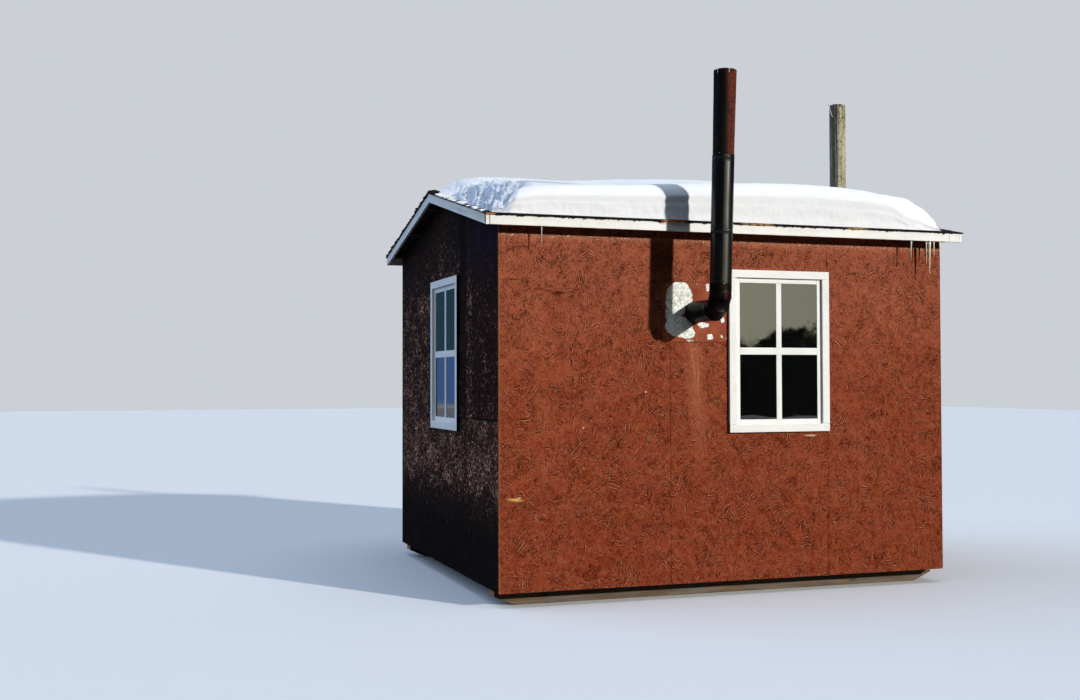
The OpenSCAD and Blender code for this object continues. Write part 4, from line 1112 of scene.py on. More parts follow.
def rounded(d, w):
    """The rise of a round edge: 0 at the rim and 1 from w inwards."""
    return 0.0 if d <= 0 else 1.0 if d >= w else math.sqrt(1 - (1 - d / w) ** 2)


def snow_depth(x, y):
    """Depth of the settled snow, with its rounded ends and its steep edge at the eaves."""
    inner = min(y, hut_wide - y) - snow_front
    k = held((x - snow_left) / snow_long)
    swell = 1 + 0.65 * (1 - held(inner / 1.4014)) ** 1.5
    full = (0.060 + 0.142 * k ** 0.51) * swell
    ends = rounded(x - snow_left, 0.331), rounded(snow_right - x, 1.438)
    return full * (0.5 + 0.5 * rounded(inner, 0.130)) * ends[0] * ends[1]


# Where the snow rises above or sinks below its even depth: along X, most of all at the ridge,
# and along Y at the mast end.
crest = (
    (-0.085, -0.020), (-0.012, -0.015), (0.035, -0.003), (0.097, 0.015), (0.168, 0.025),
    (0.311, 0.031), (0.447, 0.025), (0.609, 0.018), (0.772, 0.012), (0.896, 0.002),
    (1.146, 0.004), (1.358, 0.014), (1.616, 0.018), (1.790, 0.024), (2.145, 0.024),
    (2.507, 0.018), (2.784, 0.035), (3.066, 0.023), (3.257, 0.006), (3.385, 0.004))
flank = (
    (-0.101, -0.057), (-0.05, -0.060), (0.0, -0.010), (0.08, 0.037),
    (0.18, 0.015), (0.32, 0.013), (0.55, 0.008), (0.9, 0.0))


def along(table, v):
    """A height read off a table of places and heights."""
    for (a, p), (b, q) in zip(table, table[1:]):
        if v < b:
            return p + (q - p) * max(0.0, (v - a) / (b - a))
    return table[-1][1]


def smooth(t):
    t = held(t)
    return t * t * (3 - 2 * t)


def snow_mesh(nx=320, ny=150, up=7):
    """The snow as a fine skin: soft over the slopes, combed and broken at the window gable."""
    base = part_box("roof_snow")[0][2] + 0.001

    def roof(y):
        return base + (min(y, hut_wide - y) - snow_front) * math.tan(pitch)

    def from_eave(y):
        return min(y - snow_front, snow_back - y)

    def broken(x, y):
        """How far inside the old broken face at the window gable a place is."""
        inner = from_eave(y)
        edge = 0.30 + 0.30 * min(1.0, inner) - 0.13 * max(0.0, 1 - inner / 0.30)
        return edge + 0.05 * uneven(y * 9, 3.3, 0) - (x - snow_left)

    def height(x, y):
        inner = from_eave(y)
        d = snow_depth(x, y)
        thin = min(1.0, d / 0.05)
        d += along(crest, x) * (0.35 + 0.65 * min(1.0, inner / 1.2)) * thin
        d += along(flank, min(y, hut_wide - y)) * smooth((x - 2.884) / 0.233) * thin
        p = Vector((x, y, 0))
        drift = 0.005 * field.fractal(p * 2.2, 0.9, 2.0, 4) * rounded(inner + 0.02, 0.2)
        d += drift + 0.0015 * field.noise(p * 22)
        s = broken(x, y)
        r = held(s / 0.05)
        if r > 0:
            bare = 1 - 0.88 * smooth((inner - 0.95) / 0.35)
            lump = field.fractal(Vector((x * 15, y * 7, 1.0)), 0.8, 2.0, 4)
            phase = (x - 0.33 * y) * math.pi / 0.042 + 1.6 * uneven(x * 9, y * 5, 8)
            comb = abs(math.sin(phase)) ** 0.7 - 0.6
            step = math.sin(2 * math.pi * s / 0.125 + 1.2 * uneven(y * 4, 6.1, 0))
            tip = 0.45 - 2.2 * abs(uneven(x * 24 + y * 9, y * 30, 3))
            comb *= smooth((s - 0.10) / 0.08)
            d += r * bare * thin * (0.012 * lump + 0.017 * comb + 0.010 * step + 0.026 * tip - 0.022)
        crumble = smooth((x - 2.85) / 0.2) * thin * smooth(1 - y / 0.6)
        d += 0.012 * crumble * (uneven(x * 9, y * 13, 5) - 0.1)
        return max(0.006, d)

    verts, faces, worn = [], [], []
    row = ny + 1 + 2 * up
    for i in range(nx + 1):
        s = i / nx
        u = 0.75 * (1 - math.cos(math.pi * s)) / 2 + 0.25 * s
        for j in range(row):
            q = held((j - up) / ny)
            v = 0.8 * (1 - math.cos(math.pi * q)) / 2 + 0.2 * q
            y = snow_front + (snow_back - snow_front) * v
            jag_l = 0.014 * (0.5 + uneven(y * 5, 1.5, 0) + 0.6 * uneven(y * 17, 2.5, 0))
            jag_r = 0.050 * (0.4 + uneven(y * 3, 7.5, 0) + 0.4 * uneven(y * 14, 3.5, 0))
            a, b = snow_left + max(0.0, jag_l), snow_right - max(0.0, jag_r)
            x = a + (b - a) * u
            climb = held(j / up if j < up else (row - 1 - j) / up)
            z = height(x, y)
            # The mark for the broken face's bluish painted shade fades out towards the ridge.
            shaded = 1 - 0.95 * smooth((from_eave(y) - 0.9) / 0.3)
            worn.append(held(broken(x, y) / 0.06) * shaded)
            if climb < 1:
                dent = 0.006 * (1 + uneven(x * 5, z * climb * 12, 3))
                dent += 0.004 * uneven(x * 26, z * climb * 30, 6)
                dent = max(0.0, dent) * math.sin(math.pi * min(1.0, climb + 0.1)) + 0.010 * climb ** 3
                y += dent if j < up else -dent
                z *= climb
            elif j in (up, row - 1 - up):
                y += 0.011 if j == up else -0.011
            verts.append(at(x, y, roof(y) + z))
    for i in range(nx):
        for j in range(row - 1):
            faces.append((i * row + j, (i + 1) * row + j, (i + 1) * row + j + 1, i * row + j + 1))
    last = row - 1
    rim = [i * row for i in range(nx + 1)] + [nx * row + j for j in range(1, row)]
    rim += [i * row + last for i in range(nx - 1, -1, -1)] + [j for j in range(last - 1, 0, -1)]
    under = {}
    for v in rim:
        p = verts[v]
        under[v] = len(verts)
        verts.append(Vector((p.x, p.y, roof(p.y - corner_y) - 0.0005)))
        worn.append(worn[v])
    for a, b in zip(rim, rim[1:] + rim[:1]):
        faces.append((a, under[a], under[b], b))
    mid = last // 2
    first = [under[v] for v in rim[:nx + 1 + mid]]
    second = [under[v] for v in rim[nx + mid:2 * nx + last + 1 + (last - mid)]]
    close = [under[v] for v in rim[2 * nx + last + (last - mid):]]
    faces.append(tuple(reversed(first + close)))
    faces.append(tuple(reversed(second)))
    mesh = form("settled_snow", verts, faces, True)
    mesh.attributes.new("old", "FLOAT", "POINT").data.foreach_set("value", worn)
    outward(mesh)
    mesh.set_sharp_from_angle(angle=math.radians(60))
    return mesh


snow = snow_mesh()
snow_skin = snow_finish()
snow.materials.append(snow_skin)
add("settled_snow", snow, "snow", "roof_snow")
rng = random.Random(5)
crust_x, crust_z, crust_end = slope_foot[0] + 0.004, slope_foot[2] + 0.010, ridge_y - peak_half
crust_foot = Vector((crust_x, slope_foot[1] + 0.05, crust_z))
crust_head = Vector((crust_x, crust_end, crust_z + (crust_end - slope_foot[1]) * math.tan(pitch)))
done, number = 0.05, 1
while done < 0.95:
    run = rng.uniform(0.02, 0.07)
    thick = rng.uniform(0.010, 0.020)
    ends = crust_foot.lerp(crust_head, done), crust_foot.lerp(crust_head, min(0.98, done + run))
    ragged(f"rake_crust_{number}", *ends, (-1, 0, 0), 0.05, 0.014, thick, 30 + number, 0.010,
           snow_skin, "snow")
    done += run + rng.uniform(0.02, 0.08)
    number += 1


# ICICLES: six of milky ice under the front fascia, one near the window gable and five at the
# mast end, frozen to the lower edge of the board.
def ice_finish():
    m, t, b = finish("icicle_ice", 0.08)
    b.inputs["Transmission Weight"].default_value = 0.05
    b.inputs["Subsurface Weight"].default_value = 0.8
    b.inputs["Subsurface Radius"].default_value = (1.0, 1.0, 1.0)
    b.inputs["Subsurface Scale"].default_value = 0.01
    b.inputs["IOR"].default_value = 1.31
    where = in_place(t)
    milk = cloud(t, where, 70.0, 3.0, 0.6)
    c = mix(t, span(t, milk, 0.35, 0.7), paint(252, 252, 248), paint(246, 230, 192))
    wire(t, c, b.inputs["Base Color"])
    wire(t, span(t, milk, 0.3, 0.8, 0.04, 0.35), b.inputs["Roughness"])
    return m


def icicle_mesh(sides=8):
    """A drop-grown cone hanging down from z 0 to -1, thick as 1 at its root."""
    rings = [(0.0, 0.5), (-0.10, 0.46), (-0.26, 0.33), (-0.36, 0.30), (-0.55, 0.20),
             (-0.66, 0.17), (-0.85, 0.08)]
    verts = [(r * c, r * s, z) for z, r in rings for c, s in circle(sides)]
    verts.append((0.02, 0.0, -1.0))
    faces = [tuple(range(sides))]
    faces += [(a, d, c, b) for a, b, c, d in bands(len(rings) - 1, sides)]
    last = (len(rings) - 1) * sides
    faces += [(last + k, len(verts) - 1, last + (k + 1) % sides) for k in range(sides)]
    return form("icicle", verts, faces, True)


fascia_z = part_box("fascia_front")[0][2]
icicles = []
for x, tip, wide in ((0.268, 2.356, 0.009), (3.087, 2.330, 0.014), (3.242, 2.217, 0.022),
                     (3.278, 2.363, 0.015), (3.329, 2.357, 0.016), (3.215, 2.30, 0.012)):
    icicles.append((at(x, -0.088, fascia_z + 0.002), (0, 0, x * 9), (wide, wide, fascia_z + 0.002 - tip)))
scatter("icicles", "snow", icicle_mesh(), icicles, ice_finish(), 1.0, 0.03, 71)


# PIPE PLATE: a thin zinc-coated sheet nailed over the hole where the pipe leaves the wall,
# painted red with the wall; the paint has peeled off it in patches.
plate_lo, plate_hi = (Vector(v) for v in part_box("pipe_plate"))


def plate_finish(peeled):
    m, t, b = finish("peeling_plate", 0.6, spec=0.15)
    where = in_place(t)
    part = parts(t, where)
    flat = whole(t, part[0], part[2])
    spot_at = unsettle(t, flat, 26.0, 0.045)
    bare = None
    for p, rx, rz in peeled:
        one = mark(t, spot_at, p.x, p.z, rx, rz, 0.0, 0.03)
        bare = one if bare is None else calc(t, "MAXIMUM", bare, one)
    spangle = cells(t, flat, 130.0)[0]
    zinc = mix(t, spangle, paint(246, 246, 240), paint(208, 211, 208))
    zinc = mix(t, span(t, cloud(t, flat, 60.0, 4.0), 0.5, 0.66, 0.0, 0.55), zinc, paint(150, 150, 142))
    red = mix(t, span(t, cloud(t, flat, 8.0, 4.0), 0.3, 0.7), brick[0], brick[1])
    dirty = cloud(t, flat, 22.0, 4.0, 0.7)
    zinc = mix(t, span(t, dirty, 0.50, 0.66, 0.0, 0.60), zinc, paint(112, 118, 112))
    rimmed = span(t, bare, 0.02, 0.5)
    c = mix(t, bare, mix(t, rimmed, red, paint(206, 160, 140)), zinc)
    # A dark line round the rim of the plate: painted shade of the gap under its edge.
    for axis, low_side, high_side in ((0, plate_lo.x, plate_hi.x), (2, plate_lo.z, plate_hi.z)):
        to_rim = calc(t, "MINIMUM", minus(t, part[axis], low_side), minus(t, high_side, part[axis]))
        c = mix(t, span(t, to_rim, 0.0042, 0.0026, 0.0, 0.8), c, brick[4])
    wire(t, c, b.inputs["Base Color"])
    wire(t, times(t, bare, 0.25), b.inputs["Metallic"])
    wire(t, span(t, spangle, 0.0, 1.0, 0.55, 0.75), b.inputs["Roughness"])
    film = bump(t, minus(t, 1.0, bare), 0.0006, 1.0)
    wire(t, bump(t, cloud(t, flat, 14.0, 2.0), 0.003, 0.3, film), b.inputs["Normal"])
    return m


pipe_foot = at(1.403, 0.0, 1.947)


def plate_mesh(rings=5, around=96):
    """A plate that is a little buckled between its nails, with the round hole for the pipe."""
    cx, cz = pipe_foot.x, pipe_foot.z
    hole = 0.0733
    verts, faces = [], []
    for y, back in ((plate_lo.y, 0), (plate_hi.y, 1)):
        for i in range(rings + 1):
            s = i / rings
            for k in range(around):
                a = 2 * math.pi * k / around
                c, w = math.cos(a), math.sin(a)
                ex = plate_hi.x - cx if c > 0 else cx - plate_lo.x
                ez = plate_hi.z - cz if w > 0 else cz - plate_lo.z
                far_r = min(ex / max(abs(c), 1e-6), ez / max(abs(w), 1e-6))
                r = hole + (far_r - hole) * s
                x, z = cx + r * c, cz + r * w
                buckle = 0.0009 * (1 + uneven(x * 9, z * 9, 0)) * math.sin(math.pi * s)
                verts.append((x, y - (0.0 if back else buckle), z))
    m = (rings + 1) * around
    for a, b, c, d in bands(rings, around):
        faces += [(a, b, c, d), (m + a, m + d, m + c, m + b)]
    for i in (0, rings):
        for k in range(around):
            a, b = i * around + k, i * around + (k + 1) % around
            faces.append((a, m + a, m + b, b) if i == 0 else (a, b, m + b, m + a))
    return outward(form("zinc_plate", verts, faces))


peeled = [(at(x, 0, z), rx, rz) for x, z, rx, rz in (
    (1.288, 2.045, 0.098, 0.112), (1.246, 1.958, 0.058, 0.145), (1.285, 1.850, 0.102, 0.072),
    (1.350, 1.800, 0.055, 0.034), (1.505, 2.118, 0.020, 0.024), (1.470, 1.861, 0.045, 0.020),
    (1.520, 1.778, 0.024, 0.020), (1.618, 1.900, 0.014, 0.022), (1.612, 1.790, 0.009, 0.012),
    (1.368, 1.753, 0.026, 0.005))]
plate = plate_mesh()
plate.materials.append(plate_finish(peeled))
add("zinc_plate", plate, "plate_metal", "pipe_plate")


# STOVE PIPE: 146 mm rolled sheet in sections that slide into one another, a bend of four
# mitred pieces with a bead on each side of every joint, and a ribbed collar. Black stove
# enamel, dusty and rust-freckled; the top section is burnt bare and rusted, its rim slit.
def pipe_finish(name, body, rust, least, gloss=0.22, spec=0.2, only_above=None, rust_and_lit_side=None):
    m, t, b = finish(name, gloss, 0.0, spec)
    where = in_place(t)
    spots = cloud(t, where, 24.0, 5.0, 0.7)
    runs = cloud(t, stretch(t, where, (1, 1, 9)), 26.0, 4.0, 0.65)
    amount = span(t, plus(t, times(t, spots, 0.6), times(t, runs, 0.4)), least, least + 0.12)
    if only_above:
        high = parts(t, where)[2]
        amount = times(t, amount, span(t, high, only_above, only_above + 0.05, 0.12, 1.0))
    # Rust kept to the half towards the lamp: real rust, and painted light that makes that half lighter.
    if rust_and_lit_side is not None:
        right = parts(t, where)[0]
        amount = times(t, amount, span(t, right, rust_and_lit_side - 0.012, rust_and_lit_side + 0.012), clamp=True)
    dark_rust = (rust[0] * 0.35, rust[1] * 0.3, rust[2] * 0.3, 1)
    tone = mix(t, span(t, cloud(t, where, 70.0, 3.0, 0.7), 0.3, 0.7), rust, dark_rust)
    dust = span(t, cloud(t, where, 6.0, 4.0), 0.4, 0.8, 0.0, 0.25)
    c = mix(t, dust, body, (body[0] + 0.012, body[1] + 0.012, body[2] + 0.011, 1))
    wire(t, mix(t, amount, c, tone), b.inputs["Base Color"])
    wire(t, span(t, amount, 0.0, 1.0, gloss, 0.85), b.inputs["Roughness"])
    fine = bump(t, cloud(t, where, 300.0, 2.0), 0.0004, 0.35)
    wire(t, bump(t, amount, 0.0005, 0.7, fine), b.inputs["Normal"])
    return m


black_enamel = pipe_finish("black_enamel", (0.003, 0.003, 0.003, 1), paint(50, 26, 20), 0.68, 0.26, 0.45)
bend_enamel = pipe_finish("bend_enamel", (0.003, 0.002, 0.002, 1), paint(86, 30, 22), 0.53, 0.40, 0.06,
                          only_above=1.97)
burnt_rust = pipe_finish("burnt_rust", paint(9, 5, 4), paint(112, 56, 42), 0.38, 0.6, 0.10,
                         rust_and_lit_side=pipe_foot.x + 0.028)
lean = Matrix.Rotation(math.radians(1.74), 4, "Y")
upright = Matrix.Translation(pipe_foot) @ lean @ Matrix.Translation((0, -0.385, 0))


def lathe(profile, around=96, wobble=0.0, seed=0):
    """A closed turned skin from (radius, height) pairs that run out, up and back inside."""
    verts = []
    for r, z in profile:
        for c, s in circle(around):
            d = wobble * uneven(c * 1.5, s * 1.5, z * 6 + seed)
            verts.append(((r + d) * c, (r + d) * s, z))
    return verts, [tuple(v % len(verts) for v in face) for face in bands(len(profile), around)]


def pipe_length(name, z0, length, node, seam_at, seed):
    """A rolled length: turned-in lips, a stiffening bead near its foot and a folded seam."""
    r, w = 0.073, 0.0015
    z1 = z0 + length
    rows = [(r - 0.0008, z0), (r, z0 + 0.0008), (r, z0 + 0.012), (r + 0.0012, z0 + 0.0135),
            (r + 0.0016, z0 + 0.0155), (r + 0.0012, z0 + 0.0175), (r, z0 + 0.019)]
    steps = 14
    rows += [(r, z0 + 0.019 + (length - 0.038) * k / steps) for k in range(1, steps + 1)]
    rows += [(r + 0.0010, z1 - 0.0165), (r + 0.0010, z1 - 0.0145), (r, z1 - 0.013), (r, z1 - 0.001)]
    rows += [(r - 0.0006, z1), (r - w, z1), (r - w, z0)]
    verts, faces = lathe(rows, 96, 0.0007, seed)
    verts = [upright @ Vector(v) for v in verts]
    base = len(verts)
    steps = 24
    half = 0.0055 / r
    for k in range(steps + 1):
        z = z0 + 0.002 + (length - 0.004) * k / steps
        for da, dr in ((-half, -0.0004), (-half * 0.8, 0.0014), (half * 0.8, 0.0016), (half, -0.0004)):
            a = seam_at + da
            verts.append(upright @ Vector(((r + dr) * math.cos(a), (r + dr) * math.sin(a), z)))
    faces += [tuple(base + v for v in face) for face in bands(steps, 4)]
    faces += [(base, base + 3, base + 2, base + 1), tuple(base + 4 * steps + c for c in range(4))]
    mesh = form(name, verts, faces, True)
    outward(mesh)
    mesh.set_sharp_from_angle(angle=math.radians(35))
    mesh.materials.append(black_enamel)
    return add(name, mesh, "black_pipe", node)


def turned_copy(node, skin):
    """The solid's own skin, joined and shaded smooth up to its beads and rims."""
    bm = joined_copy(node)
    for f in bm.faces:
        f.smooth = True
    o = keep(bm, node + "_skin", "black_pipe", (skin,), node)
    o.data.set_sharp_from_angle(angle=math.radians(28))
    return o


turned_copy("pipe_inlet", bend_enamel)
turned_copy("pipe_elbow", bend_enamel)
pipe_length("pipe_low_rolled", 0.165, 0.3615, "pipe_low", math.radians(60), 3)
pipe_length("pipe_mid_rolled", 0.527, 0.4875, "pipe_mid", math.radians(115), 5)


def burnt_top(around=144, rows=40):
    """The top section: it flares a little, its thin rim is slit and the flaps are bent."""
    z0, length = 1.015, 0.565
    r0, r1, w = 0.0704, 0.0755, 0.0013
    slits = [round(a / 360 * around) % around for a in (15, 78, 141, 199, 262, 325)]
    verts, faces = [], []
    for inner in (0, 1):
        for i in range(rows + 1):
            s = i / rows
            z = z0 + length * s
            for k in range(around):
                a = 2 * math.pi * k / around
                c, d = math.cos(a), math.sin(a)
                flap = max(0.0, (z - (z0 + length - 0.026)) / 0.026)
                bend = flap * flap * 0.004 * uneven(round(k / 24) * 3.1, 7.7, 0) if flap else 0.0
                r = r0 + (r1 - r0) * s + bend + 0.0008 * uneven(c * 3, d * 3, z * 8)
                chewed = 0.004 * max(0.0, uneven(k * 0.35, 3.3, 0)) if i == rows else 0.0
                verts.append(upright @ Vector(((r - inner * w) * c, (r - inner * w) * d, z - chewed)))
    m = (rows + 1) * around
    gone = {(i, k) for k in slits for i in range(rows - 2, rows)}
    for i in range(rows):
        for k in range(around):
            if (i, k) in gone:
                continue
            a, b = i * around + k, i * around + (k + 1) % around
            faces.append((a, b, b + around, a + around))
            faces.append((m + a, m + a + around, m + b + around, m + b))
            if i == rows - 1 or (i + 1, k) in gone:
                faces.append((a + around, b + around, m + b + around, m + a + around))
            if i == 0:
                faces.append((a, m + a, m + b, b))
            if (i, (k + 1) % around) in gone:
                faces.append((b, m + b, m + b + around, b + around))
            if (i, (k - 1) % around) in gone:
                faces.append((a, a + around, m + a + around, m + a))
    mesh = form("burnt_top", verts, faces, True)
    outward(mesh)
    mesh.set_sharp_from_angle(angle=math.radians(35))
    return mesh


top = burnt_top()
top.materials.append(burnt_rust)
add("burnt_top", top, "rusted_pipe", "pipe_top")


def dome_mesh(sides=10):
    """A rivet or nail head of radius 1 that rises 0.5 from z 0."""
    rings = [(1.0, -0.3), (1.0, 0.08), (0.86, 0.28), (0.5, 0.45)]
    verts = [(r * c, r * s, z) for r, z in rings for c, s in circle(sides)]
    verts.append((0, 0, 0.5))
    faces = [tuple(reversed(range(sides)))] + bands(len(rings) - 1, sides)
    last = (len(rings) - 1) * sides
    faces += [(last + k, last + (k + 1) % sides, len(verts) - 1) for k in range(sides)]
    return form("dome", verts, faces, True)


def bright_finish():
    m, t, b = finish("bright_zinc", 0.4, 0.8)
    where = in_place(t)
    dull = cloud(t, where, 90.0, 2.0)
    c = mix(t, span(t, dull, 0.4, 0.6), paint(206, 206, 202), paint(150, 146, 140))
    wire(t, c, b.inputs["Base Color"])
    wire(t, span(t, dull, 0.3, 0.7, 0.3, 0.6), b.inputs["Roughness"])
    return m


rivets = []
for z, angles in ((0.1625, (262, 142, 22)), (0.519, (283, 163, 43)), (1.022, (222, 342, 102))):
    for a in angles:
        a = math.radians(a)
        p = upright @ Vector((0.0735 * math.cos(a), 0.0735 * math.sin(a), z))
        rivets.append((p, (0, math.pi / 2, a), (1, 1, 1)))
bright = bright_finish()
scatter("pipe_rivets", "black_pipe", dome_mesh(), rivets, bright, 0.0032, 0.02, 81)


# MAST: a peeled spruce pole 142 mm thick, bolted to the mast gable through two hollowed
# blocks. Weathered grey and checked along its length, with an old wire stapled down its side.
def mast_finish():
    m, t, b = finish("weathered_pole", 0.9, spec=0.2)
    where = in_place(t)
    fibre = cloud(t, stretch(t, where, (0.006, 0.006, 0.30)), 1.0, 4.0, 0.65)
    slow = cloud(t, stretch(t, where, (0.03, 0.03, 0.5)), 1.0, 3.0, 0.6)
    c = mix(t, span(t, slow, 0.35, 0.7), paint(214, 206, 172), paint(172, 163, 132))
    c = mix(t, span(t, fibre, 0.49, 0.62, 0.0, 0.80), c, paint(84, 76, 58))
    dots = cloud(t, stretch(t, where, (0.009, 0.009, 0.022)), 1.0, 2.0, 0.6)
    c = mix(t, span(t, dots, 0.56, 0.62, 0.0, 0.92), c, paint(40, 33, 26))
    # The bark strip on the side away from the lamp: dark as bark, and also as painted shade.
    bark_and_shade = marked(t, "bark")
    bark_and_shade_tone = mix(t, span(t, fibre, 0.44, 0.60), paint(98, 98, 92), paint(32, 28, 24))
    c = mix(t, times(t, bark_and_shade, 0.85), c, bark_and_shade_tone)
    check = marked(t, "check")
    c = mix(t, span(t, check, 0.15, 0.6), c, paint(18, 14, 11))
    high = span(t, parts(t, where)[2], 3.60, 3.88)
    moss = times(t, high, span(t, cloud(t, where, 30.0, 4.0, 0.7), 0.45, 0.62), clamp=True)
    c = mix(t, moss, c, paint(66, 62, 40))
    wire(t, c, b.inputs["Base Color"])
    wire(t, bump(t, fibre, 0.002, 0.8), b.inputs["Normal"])
    return m


mast_lo, mast_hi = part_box("mast")
mast_c = Vector(((mast_lo[0] + mast_hi[0]) / 2, (mast_lo[1] + mast_hi[1]) / 2, 0))


def mast_radius(a, z):
    """The pole is a little out of round, with one wide drying check, some narrow ones, and a
    strip of old bark left on it to the left of the wide one, on the side away from the lamp,
    whose dark colour is also painted shade."""
    p = Vector((math.cos(a) * 1.2, math.sin(a) * 1.2, z * 1.6))
    r = 0.0690 + 0.0012 * field.noise(p) + 0.0007 * field.noise(p * 4)
    deep = 0.0
    for centre, depth, wide in ((-2.24, 0.018, 0.085), (-1.55, 0.004, 0.035), (-1.05, 0.006, 0.040),
                                (2.0, 0.014, 0.06), (0.2, 0.012, 0.05)):
        path = centre + 0.06 * uneven(z * 1.3, centre, 0)
        off = (a - path + math.pi) % (2 * math.pi) - math.pi
        live = held(0.75 + uneven(z * 1.1, centre, 5))
        here = live * max(0.0, 1 - abs(off) / wide)
        deep = max(deep, here * min(1.0, depth / 0.010))
        r -= depth * here
    turned = a if a < 2.5 else a - 2 * math.pi
    bark = smooth((-2.27 - turned) / 0.06) * smooth((turned + 3.65) / 0.12)
    r += bark * 0.0016 * field.fractal(Vector((a * 4, z * 26, 2.0)), 0.8, 2.0, 3)
    return r, deep, bark


def pole_mesh(around=160, rows=150):
    z0, z1 = mast_lo[2], mast_hi[2]
    verts, checks, bark_and_shade_marks = [], [], []
    for i in range(rows + 1):
        z = z0 + (z1 - z0) * i / rows
        shrink = 0.0 if z < z1 - 0.012 else 0.006 * (z - z1 + 0.012) / 0.012
        for k in range(around):
            a = 2 * math.pi * k / around - math.pi
            r, deep, bark = mast_radius(a, z)
            r -= shrink
            checks.append(deep)
            bark_and_shade_marks.append(bark)
            top = 0.004 * uneven(math.cos(a) * 3, math.sin(a) * 3, 1) - 0.004 if i == rows else 0
            verts.append((mast_c.x + r * math.cos(a), mast_c.y + r * math.sin(a), z + top))
    faces = bands(rows, around)
    verts += [(mast_c.x, mast_c.y, z0), (mast_c.x, mast_c.y, z1 - 0.006)]
    n = len(verts)
    for k in range(around):
        faces.append((n - 2, (k + 1) % around, k))
        faces.append((n - 1, rows * around + k, rows * around + (k + 1) % around))
    mesh = form("mast_pole", verts, faces, True)
    mesh.attributes.new("check", "FLOAT", "POINT").data.foreach_set("value", checks + [0.0, 0.0])
    mesh.attributes.new("bark", "FLOAT", "POINT").data.foreach_set("value", bark_and_shade_marks + [0.0, 0.0])
    mesh.set_sharp_from_angle(angle=math.radians(50))
    return mesh


pole = pole_mesh()
pole.materials.append(mast_finish())
add("mast_pole", pole, "mast_wood", "mast")
block_timber = timber("block_timber", paint(150, 132, 104), paint(104, 86, 62), 0.85, 0.8)
boards("mast_blocks", "timber", block_timber, fresh_end, 0.003, 85)


def hose(name, points, radius, sides=10):
    """A round wire through the points, closed at both ends."""
    pts = [Vector(p) for p in points]
    verts = []
    up = Vector((0.3, 0.8, 0.2)).normalized()
    for k, p in enumerate(pts):
        run = (pts[min(k + 1, len(pts) - 1)] - pts[max(k - 1, 0)]).normalized()
        side = run.cross(up).normalized()
        other = run.cross(side)
        verts += [p + (side * c + other * s) * radius for c, s in circle(sides)]
    last = (len(pts) - 1) * sides
    ends = [tuple(reversed(range(sides))), tuple(last + s for s in range(sides))]
    return outward(form(name, verts, bands(len(pts) - 1, sides) + ends, True))


def rubber(name, colour):
    m, t, b = finish(name, 0.6, spec=0.4)
    where = in_place(t)
    dusty = tuple(v * 0.6 + 0.02 for v in colour[:3]) + (1,)
    c = mix(t, span(t, cloud(t, where, 40.0, 4.0), 0.35, 0.7), colour, dusty)
    wire(t, c, b.inputs["Base Color"])
    wire(t, bump(t, cloud(t, where, 400.0, 2.0), 0.0002, 0.4), b.inputs["Normal"])
    return m


wire_side = math.radians(205)


def on_pole(z, lift, a=wire_side):
    r = 0.0705 + lift
    return Vector((mast_c.x + r * math.cos(a), mast_c.y + r * math.sin(a), z))


run = []
for k in range(52):
    lift = 0.003 + 0.0015 * uneven(k * 0.4, 0, 0)
    run.append(on_pole(3.845 - 0.03 * k, lift, wire_side + 0.03 * uneven(k * 0.17, 3, 0)))
tail = [run[-1] + Vector((-0.010 * k - 0.004 * k * k, -0.002 * k, -0.012 * k)) for k in range(1, 4)]
last = tail[-1]
into_wall = Vector((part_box("right_sheets")[1][0] - 0.01, last.y, last.z - 0.03))
tail += [last + (into_wall - last) * (k / 4) for k in range(1, 5)]
old_wire = hose("mast_wire", run + tail, 0.0035)
old_wire.materials.append(rubber("wire_black", (0.018, 0.018, 0.018, 1)))
add("mast_wire", old_wire, "black_iron")
stub_foot = on_pole(3.760, 0.004)
stub = [stub_foot + Vector((-0.014 * k ** 0.8, -0.006 * k, 0.019 * k - 0.0007 * k * k)) for k in range(9)]
pale_wire = hose("wire_stub", stub, 0.0030, 8)
pale_wire.materials.append(rubber("wire_white", paint(226, 226, 222)))
add("wire_stub", pale_wire, "white_paint")


def staple_mesh():
    """A wire staple that bridges along X over a 7 mm wire, legs going down into the wood."""
    path = [(-0.006, 0, -0.010), (-0.006, 0, 0.004), (-0.0045, 0, 0.0072),
            (0.0045, 0, 0.0072), (0.006, 0, 0.004), (0.006, 0, -0.010)]
    return hose("staple", path, 0.0011, 6)


staple_turn = (math.pi / 2, 0, wire_side + math.pi / 2)
staple_heights = (3.72, 3.665, 3.60, 3.43, 3.405, 3.27, 3.12, 2.90, 2.68, 2.46)
staples = [(on_pole(z, 0.0005), staple_turn, (1, 1, 1)) for z in staple_heights]
scatter("wire_staples", "black_iron", staple_mesh(), staples, black_iron, 1.0, 0.12, 91)


# NAILS: galvanised heads that hold the sheets, the trim and the plate, each a little askew.
# Those in the sheets are painted over.
facing = {"front": (math.pi / 2, 0, 0), "back": (-math.pi / 2, 0, 0),
          "left": (0, -math.pi / 2, 0), "right": (0, math.pi / 2, 0)}


def nail(place, side):
    """A head at the place, turned outwards on that side of the hut."""
    return place, facing[side], (1, 1, 1)


